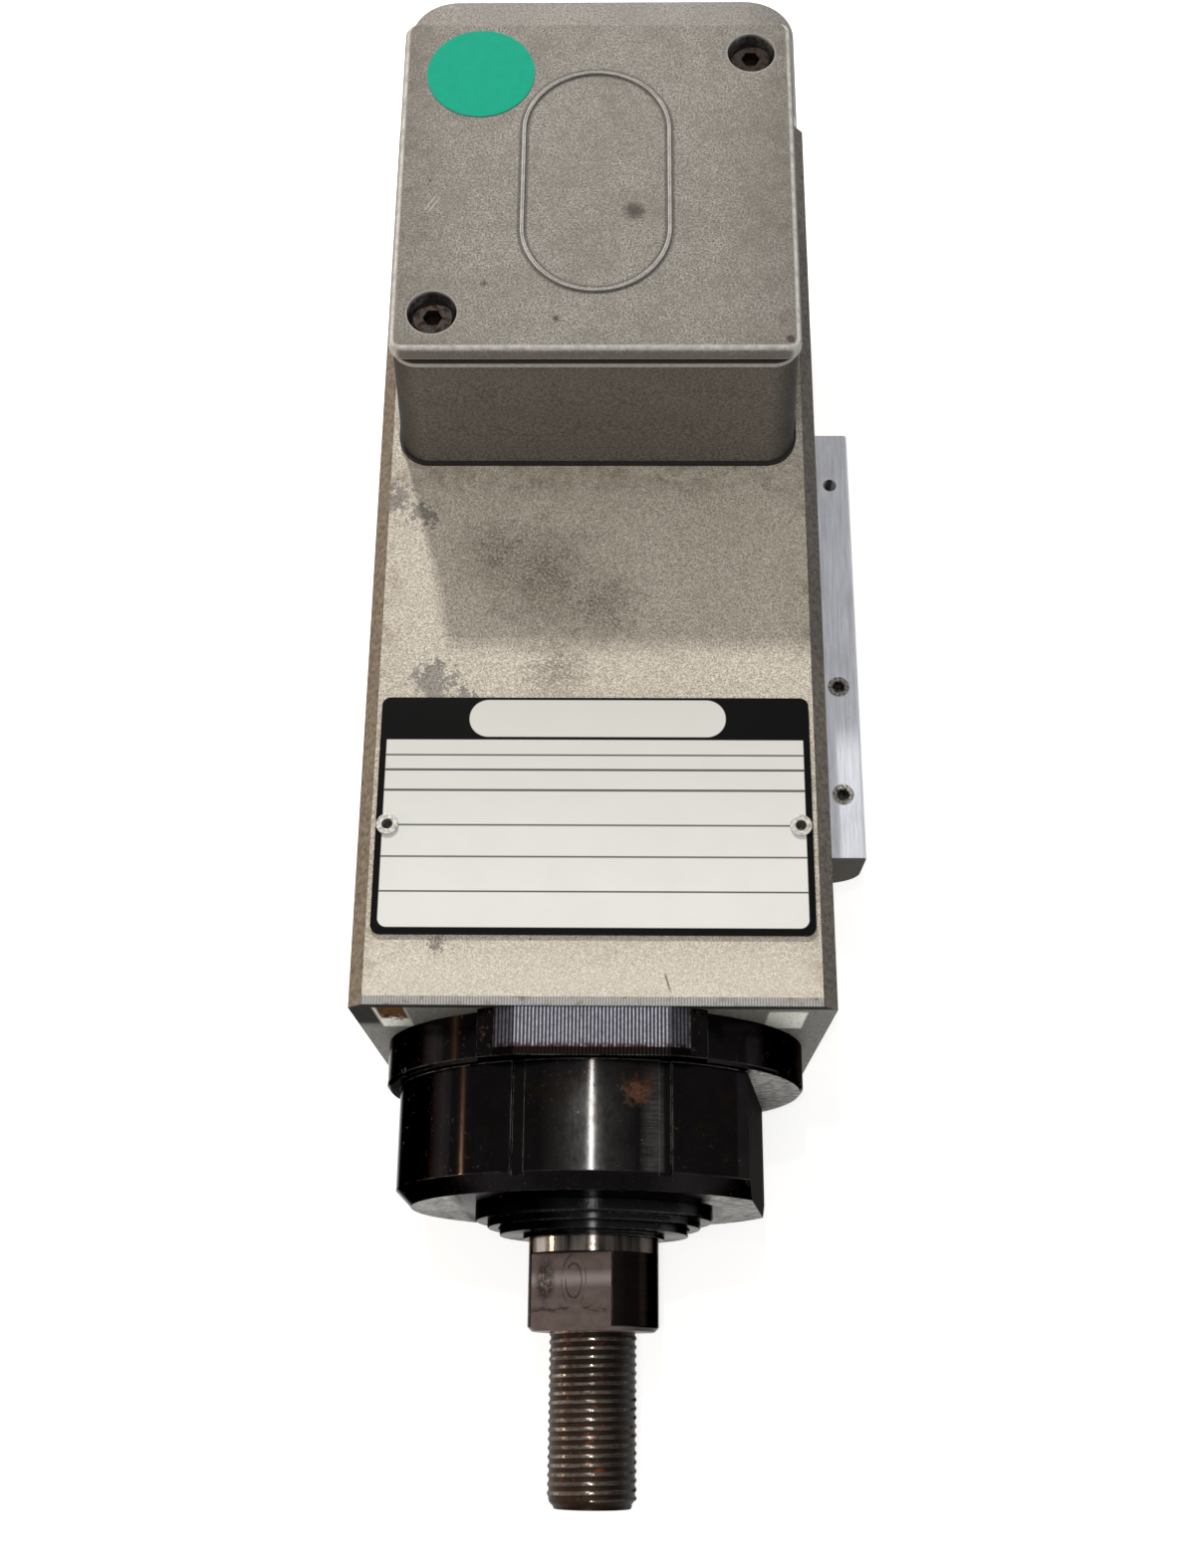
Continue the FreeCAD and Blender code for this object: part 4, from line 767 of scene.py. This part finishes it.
bpy.ops.object.mode_set(mode="EDIT")
bpy.ops.mesh.select_mode(type="VERT")
bpy.ops.mesh.select_all(action="SELECT")
bpy.ops.mesh.normals_make_consistent(inside=False)
bpy.ops.object.mode_set(mode="OBJECT")
bpy.ops.object.shade_smooth_by_angle(angle=math.radians(35))
blasted = Finish("blasted_casting", 0.0, 0.6, 0.25)
lid_centre_y = 195.8
sand = blasted.span(blasted.noise(0.34, 3.0, 0.65), 0.34, 0.66)
lid_shade = blasted.mix(sand, tint(86, 82, 77), tint(184, 179, 172))
mottle = blasted.span(blasted.noise(1.6, 4.0, 0.65), 0.4, 0.66)
lid_shade = blasted.mix(blasted.all_of(mottle, 0.35), lid_shade, tint(108, 102, 94))
near_side = blasted.span(
    blasted.math("ADD", blasted.away(blasted.x), blasted.all_of(blasted.noise(7.0, 4.0, 0.6), 8.0)),
    28.0, 40.0,
)
lid_shade = blasted.mix(blasted.all_of(near_side, 0.35), lid_shade, tint(92, 87, 80))
patina = blasted.span(blasted.noise(9.0, 5.0, 0.65), 0.42, 0.66)
lid_shade = blasted.mix(blasted.all_of(patina, 0.4), lid_shade, tint(112, 107, 98))
hand_grime = blasted.all_of(
    blasted.span(blasted.noise(4.0, 5.0, 0.7), 0.5, 0.62), blasted.span(blasted.away(blasted.x), 20.0, 33.0)
)
lid_shade = blasted.mix(blasted.all_of(hand_grime, 0.35), lid_shade, tint(92, 84, 76))
askew = blasted.math("SUBTRACT", blasted.x, blasted.all_of(blasted.y, 0.62))
scratches = blasted.any_of(
    blasted.window(askew, -148.1, -147.9, 0.12), blasted.window(askew, -147.1, -146.9, 0.12)
)
scratches = blasted.all_of(scratches, blasted.spot(-29.6, 190.4, 1.8, 0.3, 0.4))
lid_shade = blasted.mix(blasted.all_of(scratches, 0.7), lid_shade, tint(206, 204, 200))
# The rounded front and side edges are polished, and lightened further as a painted highlight.
polish_and_painted_highlight = blasted.span(blasted.noise(2.0, 4.0, 0.6), 0.3, 0.6, 0.35, 0.9)
front_lip = blasted.window(blasted.facing_y, -0.8, -0.25, 0.1)
side_lip = blasted.window(blasted.away(blasted.facing_x), 0.25, 0.75, 0.1)
lid_shade = blasted.mix(
    blasted.all_of(blasted.any_of(front_lip, side_lip), polish_and_painted_highlight), lid_shade, tint(216, 215, 211)
)
skirt = blasted.all_of(
    blasted.span(blasted.facing_y, -0.85, -0.95),
    blasted.span(blasted.noise(1.4, 5.0, 0.7), 0.35, 0.6, 0.3, 0.9),
)
lid_shade = blasted.mix(skirt, lid_shade, tint(112, 107, 101))
# Painted highlight: sharp edges are lightened.
lid_shade = blasted.mix(blasted.sharp_edges(0.8), lid_shade, tint(178, 178, 176))
past_middle = blasted.math("SUBTRACT", blasted.away(blasted.y, lid_centre_y), bead_straight / 2 * 1000)
past_middle = blasted.math("MAXIMUM", past_middle, 0.0)
oval = blasted.distance(blasted.x, past_middle)
# Painted shade: dark lines along both sides of the bead's foot.
bead_foot_painted_shade = blasted.any_of(blasted.window(oval, 12.35, 12.95, 0.15), blasted.window(oval, 13.55, 14.15, 0.15))
low_down = blasted.span(blasted.z, 76.45, 76.7, 1.0, 0.0)
lid_shade = blasted.mix(
    blasted.all_of(bead_foot_painted_shade, low_down, blasted.span(sand, 0.0, 1.0, 0.9, 0.6)), lid_shade, tint(70, 64, 59)
)
fly_marks = blasted.any_of(
    blasted.spot(34.0, 161.7, 0.75, 0.2, 0.3),
    blasted.spot(6.9, 188.7, 1.6, 0.8, 1.4),
    blasted.spot(-6.8, 165.9, 0.6, 0.25, 0.4),
    blasted.spot(-19.6, 173.2, 0.5, 0.3, 0.6),
    blasted.spot(-30.0, 195.5, 0.3, 0.15, 0.1),
)
lid_shade = blasted.mix(blasted.all_of(fly_marks, 0.75), lid_shade, tint(50, 36, 32))
recess_x, recess_y = (offset * 1000 for offset in lid_screw_offset)
from_recess = blasted.math(
    "MINIMUM",
    blasted.round_about(blasted.x, -recess_x, blasted.y, lid_centre_y - recess_y),
    blasted.round_about(blasted.x, recess_x, blasted.y, lid_centre_y + recess_y),
)
# Painted shade: the screw recesses are darkened inside.
in_recess = blasted.all_of(blasted.span(from_recess, 4.7, 4.4), blasted.span(blasted.z, 76.0, 75.5))
recess_painted_shade = blasted.all_of(in_recess, blasted.span(blasted.noise(1.3, 4.0, 0.7), 0.35, 0.65, 1.0, 0.6))
lid_shade = blasted.mix(recess_painted_shade, lid_shade, tint(34, 30, 27))
blasted.colour(lid_shade)
blasted.relief(sand, 0.05, 0.3)
lid.data.materials.clear()
lid.data.materials.append(blasted.material)
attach(lid, "motor")
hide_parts("terminal_lid")
bpy.ops.object.select_all(action="DESELECT")

# Sticker. A plain round disc of green paper, glued on at the lid's rear left corner; its fibres
# show as a faint grain.
sticker_radius, sticker_thickness, sticker_edge = 0.010, 0.00016, 0.00005
sticker_place = (-0.0216, 0.2197, lid_top_z + sticker_thickness / 2)
bpy.ops.mesh.primitive_cylinder_add(
    vertices=96, radius=sticker_radius, depth=sticker_thickness, location=sticker_place,
)
sticker = bpy.context.object
sticker.name = "round_sticker"
bpy.ops.object.transform_apply(location=True, rotation=True, scale=True)
bpy.ops.object.modifier_add(type="BEVEL")
sticker.modifiers["Bevel"].width = sticker_edge
sticker.modifiers["Bevel"].segments = 2
bpy.ops.object.modifier_apply(modifier="Bevel")
green = Finish("green_sticker_paper", 0.0, 0.7, 0.15)
fibre = green.noise(2.0, 4.0, 0.6)
green.colour(green.mix(fibre, tint(0, 150, 121), tint(0, 167, 137)))
green.relief(green.noise(1.2, 3.0), 0.02)
sticker.data.materials.append(green.material)
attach(sticker, "motor")
bpy.ops.object.select_all(action="DESELECT")

# Name plate. A thin aluminium sheet, printed black round silver-white ruled fields and held by
# two rivets.
printed = Finish("printed_plate", 0.0, 0.45, 0.08)


def rounded_field(x0, x1, y0, y1, radius):
    """One inside a rectangle with rounded corners, nought outside."""
    soft = 0.08
    half_x, half_y = (x1 - x0) / 2 - radius, (y1 - y0) / 2 - radius
    away_x = printed.away(printed.x, (x0 + x1) / 2)
    away_y = printed.away(printed.y, (y0 + y1) / 2)
    out_x = printed.math("MAXIMUM", printed.math("SUBTRACT", away_x, half_x), 0.0)
    out_y = printed.math("MAXIMUM", printed.math("SUBTRACT", away_y, half_y), 0.0)
    return printed.span(printed.distance(out_x, out_y), radius - soft, radius + soft, 1.0, 0.0)


field = printed.all_of(
    rounded_field(-37.7, 37.7, 65.6, 108.6, 1.6), printed.span(printed.y, 100.6, 100.8, 1.0, 0.0)
)
field = printed.any_of(field, rounded_field(-22.8, 23.8, 101.3, 108.5, 3.5))
rules = []
for rule_y, rule_width in (
    (97.75, 0.16), (94.9, 0.22), (91.0, 0.22), (84.4, 0.16), (78.5, 0.16), (72.1, 0.16),
):
    rules.append(printed.window(printed.y, rule_y - rule_width, rule_y + rule_width, 0.06))
ink = printed.any_of(printed.without(field), printed.all_of(printed.any_of(*rules), 0.85))
ground = printed.mix(printed.noise(8.0, 3.0), tint(219, 220, 217), tint(229, 230, 227))
ground = printed.mix(printed.span(printed.y, 72.0, 108.0, 0.0, 0.8), ground, tint(202, 202, 198))
printed.colour(printed.mix(ink, ground, tint(3, 2, 3)))
printed.relief(printed.noise(1.2, 3.0), 0.01, 0.15)
printed.cover("name_plate")

# Side bar. A milled aluminium flat, screwed along the housing's right side, with tapped holes in
# its top edge; two of them hold grub screws and one stands open.
bar_metal = Finish("milled_aluminium", 0.15, 0.42)
streak = bar_metal.noise(0.35, 4.0, 0.65, (1, 30, 1))
bar_shade = bar_metal.mix(bar_metal.span(streak, 0.3, 0.7), tint(196, 201, 214), tint(236, 240, 250))
bar_stain = bar_metal.span(bar_metal.noise(6.0, 4.0, 0.65, (1, 2, 1)), 0.5, 0.7)
bar_shade = bar_metal.mix(bar_metal.all_of(bar_stain, 0.4), bar_shade, tint(180, 180, 186))
nick = bar_metal.span(bar_metal.noise(0.9, 4.0, 0.7), 0.70, 0.76)
bar_shade = bar_metal.mix(nick, bar_shade, tint(104, 98, 94))
# The sawn end face is rough, and its dark colour is painted shade.
sawn_end = bar_metal.span(bar_metal.away(bar_metal.facing_y), 0.8, 0.95)
sawn_end_painted_shade = bar_metal.mix(bar_metal.noise(0.6, 3.0, 0.6, (4, 1, 1)), tint(70, 68, 63), tint(100, 97, 90))
bar_metal.colour(bar_metal.mix(sawn_end, bar_shade, sawn_end_painted_shade))
bar_metal.rough(
    bar_metal.math("MAXIMUM", bar_metal.span(streak, 0.0, 1.0, 0.34, 0.5), bar_metal.all_of(sawn_end, 0.85))
)
bar_metal.relief(streak, 0.02, 0.3)
bar_metal.cover("side_bar")

# Spindle shaft. One turned steel piece: a fine thread for the tool, a collar with two spanner
# flats, and the journals. The thread is rusty between bright crests.
thread_end_y, thread_pitch, crest_radius, root_radius = -0.0298, 0.0015, 0.0080, 0.00774
turns, collar_cut_y, into_collar_y = 22, -0.00002, 0.0005
bpy.ops.object.select_all(action="DESELECT")
shaft = nodes["spindle_shaft"].copy()
shaft.data = nodes["spindle_shaft"].data.copy()
shaft.name = "threaded_shaft"
for key in list(shaft.keys()):
    del shaft[key]
shaft.parent = None
bpy.context.collection.objects.link(shaft)
bpy.context.view_layer.objects.active = shaft
shaft.select_set(True)
edit_everything()
bpy.ops.mesh.remove_doubles(threshold=weld_distance)
bpy.ops.mesh.customdata_custom_splitnormals_clear()


def cut_across(y, **side):
    """Cuts the selected mesh square to the shaft, drops one side and closes the cut."""
    bpy.ops.mesh.bisect(
        plane_co=(0, y, 0), plane_no=(0, 1, 0), use_fill=True, threshold=weld_distance, **side,
    )


cut_across(collar_cut_y, clear_inner=True)
bpy.ops.mesh.select_all(action="DESELECT")
bpy.ops.object.mode_set(mode="OBJECT")
shaft.select_set(False)

chamfer_scale, chamfer_depths = 0.974, (0.0015, 0.0012, 0.0009, 0.0006, 0.0003)
thread_depth, floor_share, crest_share = crest_radius - root_radius, 0.3, 0.22
slope = thread_pitch * (1 - floor_share - crest_share) / 2
thread = start_profile("thread", root_radius, thread_end_y - 1.5 * thread_pitch)
draw_profile((
    (0.0, floor_share * thread_pitch),
    (thread_depth, slope),
    (0.0, crest_share * thread_pitch),
    (-thread_depth, slope),
))
bpy.ops.object.mode_set(mode="OBJECT")
sweep_profile(thread, "helix", 72, turns, thread_pitch)
bpy.ops.object.mode_set(mode="OBJECT")
for depth in chamfer_depths:
    bpy.ops.object.mode_set(mode="EDIT")
    bpy.ops.mesh.select_mode(type="VERT")
    bpy.ops.mesh.select_all(action="DESELECT")
    bpy.ops.object.mode_set(mode="OBJECT")
    for vertex in thread.data.vertices:
        vertex.select = vertex.co.y < thread_end_y + depth
    bpy.ops.object.mode_set(mode="EDIT")
    bpy.ops.transform.resize(value=(chamfer_scale, 1.0, chamfer_scale), center_override=(0.0, 0.0, 0.0))
    bpy.ops.object.mode_set(mode="OBJECT")
edit_everything()
cut_across(thread_end_y, clear_inner=True)
bpy.ops.mesh.select_all(action="SELECT")
cut_across(into_collar_y, clear_outer=True)
bpy.ops.object.mode_set(mode="OBJECT")
shaft.select_set(True)
bpy.context.view_layer.objects.active = shaft
bpy.ops.object.join()
edit_everything()
bpy.ops.mesh.normals_make_consistent(inside=False)
bpy.ops.object.mode_set(mode="OBJECT")
bpy.ops.object.shade_smooth_by_angle(angle=math.radians(28))

steel = Finish("worn_shaft_steel", 1.0, 0.3, 0.5, 0.25)
steel.turned(0.9)
off_centre = steel.distance(steel.x, steel.z)
on_thread = steel.span(steel.y, -0.2, 0.0, 1.0, 0.0)
on_collar = steel.window(steel.y, -0.1, 16.4, 0.1)
oiled_turning = steel.mix(steel.noise(0.5, 3.0, 0.6, (12, 1, 12)), tint(32, 29, 28), tint(64, 59, 57))
ground_journal = steel.mix(steel.noise(0.4, 2.0, 0.5, (12, 1, 12)), tint(150, 148, 146), tint(186, 184, 182))
steel_shade = steel.mix(steel.any_of(on_collar, on_thread), ground_journal, oiled_turning)
on_flat = steel.all_of(
    steel.window(steel.y, -0.1, 13.45, 0.05), steel.span(off_centre, 11.85, 11.95, 1.0, 0.0)
)
across = steel.math("ADD", steel.all_of(steel.x, 0.883), steel.all_of(steel.z, 0.469))
ring_y = steel.all_of(steel.math("SUBTRACT", steel.y, 8.6), 0.55)
ring_step = steel.distance(steel.math("SUBTRACT", across, 0.6), ring_y)
tool_arcs = steel.any_of(steel.window(ring_step, 1.55, 1.75, 0.12), steel.window(ring_step, 2.45, 2.6, 0.12))
tool_arcs = steel.all_of(tool_arcs, steel.span(steel.noise(2.2, 3.0), 0.38, 0.52))
flat_shade = steel.mix(steel.noise(1.4, 4.0, 0.65, (1.5, 1, 1.5)), tint(104, 91, 88), tint(156, 142, 138))
# Painted highlight: a light band across the flat's middle.
flat_shade = steel.mix(
    steel.all_of(steel.window(steel.y, 8.3, 9.5, 1.0), 0.8), flat_shade, tint(226, 218, 216)
)
flat_shade = steel.mix(steel.all_of(tool_arcs, 0.85), flat_shade, tint(40, 33, 31))
smear_y = steel.all_of(steel.math("SUBTRACT", steel.y, 8.8), 0.5)
smear = steel.span(steel.distance(steel.math("ADD", across, 5.4), smear_y), 1.3, 2.4, 1.0, 0.0)
smear = steel.all_of(smear, steel.span(steel.noise(1.1, 4.0, 0.7, (0.7, 1, 0.7)), 0.38, 0.52))
low_line = steel.all_of(
    steel.window(steel.y, 3.2, 4.2, 0.3), steel.span(steel.noise(1.0, 4.0, 0.7, (2.5, 1, 2.5)), 0.5, 0.6)
)
flat_shade = steel.mix(steel.all_of(steel.any_of(smear, low_line), 0.75), flat_shade, tint(46, 38, 37))
# Painted sheen: the plain band on the collar is coloured lighter, with lathe streaks.
lathe_lines = steel.span(steel.noise(2.6, 3.0, 0.55, (1, 12, 1)), 0.36, 0.62)
band_painted_sheen = steel.mix(lathe_lines, tint(58, 53, 49), tint(158, 149, 142))
steel_shade = steel.mix(steel.window(steel.y, 13.6, 16.35, 0.05), steel_shade, band_painted_sheen)
steel_shade = steel.mix(on_flat, steel_shade, flat_shade)
in_groove = steel.span(off_centre, 7.86, 7.95, 1.0, 0.0)
patchy = steel.span(steel.noise(3.0, 5.0, 0.65), 0.42, 0.58)
rusted = steel.all_of(on_thread, steel.any_of(in_groove, steel.all_of(patchy, 0.7)))
rust_shade = steel.mix(steel.noise(0.9, 4.0, 0.7), tint(20, 15, 13), tint(66, 48, 38))
orange_rust = steel.span(steel.noise(2.4, 4.0, 0.7), 0.6, 0.68)
rust_shade = steel.mix(steel.all_of(orange_rust, 0.7), rust_shade, tint(120, 66, 34))
crest_shade = steel.mix(steel.noise(0.8, 3.0, 0.6), tint(66, 58, 52), tint(178, 168, 160))
steel_shade = steel.mix(on_thread, steel_shade, crest_shade)
# Painted shade: the thread and collar are darkened on their right-facing side.
right_side_painted_shade = steel.all_of(steel.any_of(on_thread, on_collar), steel.span(steel.facing_x, 0.15, 0.5))
steel_shade = steel.mix(rusted, steel_shade, rust_shade)
steel.colour(steel.mix(steel.all_of(right_side_painted_shade, 0.8), steel_shade, tint(15, 11, 9)))
steel.metal(steel.span(steel.any_of(rusted, steel.all_of(on_flat, 0.5)), 0.0, 1.0, 1.0, 0.2))
steel.rough(steel.span(steel.any_of(rusted, steel.all_of(on_flat, 0.5)), 0.0, 1.0, 0.19, 0.6))
pits = steel.math("SUBTRACT", steel.noise(0.6, 4.0, 0.6), steel.all_of(steel.all_of(tool_arcs, on_flat), 0.8))
steel.relief(pits, 0.02, 0.15)
shaft.data.materials.clear()
shaft.data.materials.append(steel.material)
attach(shaft, "spindle")
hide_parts("spindle_shaft")
bpy.ops.object.select_all(action="DESELECT")

# Bearings and seats. Rings and sleeves of ground steel, and balls held in brass cages. A slotted
# nut and a screwed ring of blackened steel clamp the front pair, and a spring loads the rear one.
bearings = "front_bearing", "middle_bearing", "rear_bearing"
plain_finish(
    "ground_bearing_steel", 1.0, 0.16, (3.0, 2.0), (tint(190, 190, 192), tint(214, 214, 216)),
    (0.3, 2.0), (0.004,), *[bearing + "_inner_ring" for bearing in bearings],
    *[bearing + "_outer_ring" for bearing in bearings],
    "inner_spacer", "outer_spacer", "wave_spring", "fan_circlip",
)
plain_finish(
    "cage_brass", 1.0, 0.3, (2.0, 3.0), (tint(176, 140, 72), tint(204, 170, 98)),
    (0.4, 2.0), (0.01,), *[bearing + "_cage" for bearing in bearings],
)
plain_finish(
    "blackened_ring_steel", 0.9, 0.35, (2.0, 3.0), (tint(36, 34, 33), tint(56, 53, 50)),
    (0.5, 2.0), (0.02,), "bearing_locknut", "bearing_retainer",
)

# Rotor and stator. Stacked electrical sheet, a cast aluminium cage in the rotor and varnished
# copper in the stator's slots.
sheets = Finish("stacked_sheet", 0.8, 0.5)
leaf = sheets.span(sheets.math("SINE", sheets.all_of(sheets.y, 2 * math.pi / 0.5)), -1.0, 1.0)
sheets.colour(sheets.mix(leaf, tint(92, 92, 96), tint(128, 128, 132)))
sheets.relief(leaf, 0.03)
sheets.cover("rotor_core", "stator_core")
plain_finish(
    "cage_casting", 0.9, 0.45, (2.0, 3.0), (tint(170, 170, 170), tint(198, 198, 196)),
    (0.8, 3.0), (0.03,), "rotor_cage",
)
copper = Finish("varnished_copper", 0.8, 0.35)
wires = copper.noise(0.6, 2.0, 0.5, (1, 6, 1))
copper.colour(copper.mix(wires, tint(120, 62, 34), tint(190, 112, 66)))
copper.relief(wires, 0.12)
copper.cover("stator_winding")

# Terminal block. A brown moulding on the box's floor, with ribs between its studs. They are brass,
# one for each end of the windings, and each of the six has its nut.
plain_finish(
    "brown_moulding", 0.0, 0.4, (2.0, 3.0), (tint(66, 40, 28), tint(88, 56, 40)),
    (0.5, 2.0), (0.01,), "terminal_block",
)
plain_finish(
    "stud_brass", 1.0, 0.3, (1.5, 3.0), (tint(184, 148, 80), tint(216, 184, 112)),
    (0.5, 2.0), (0.01,), "terminal_studs", "terminal_nuts",
)
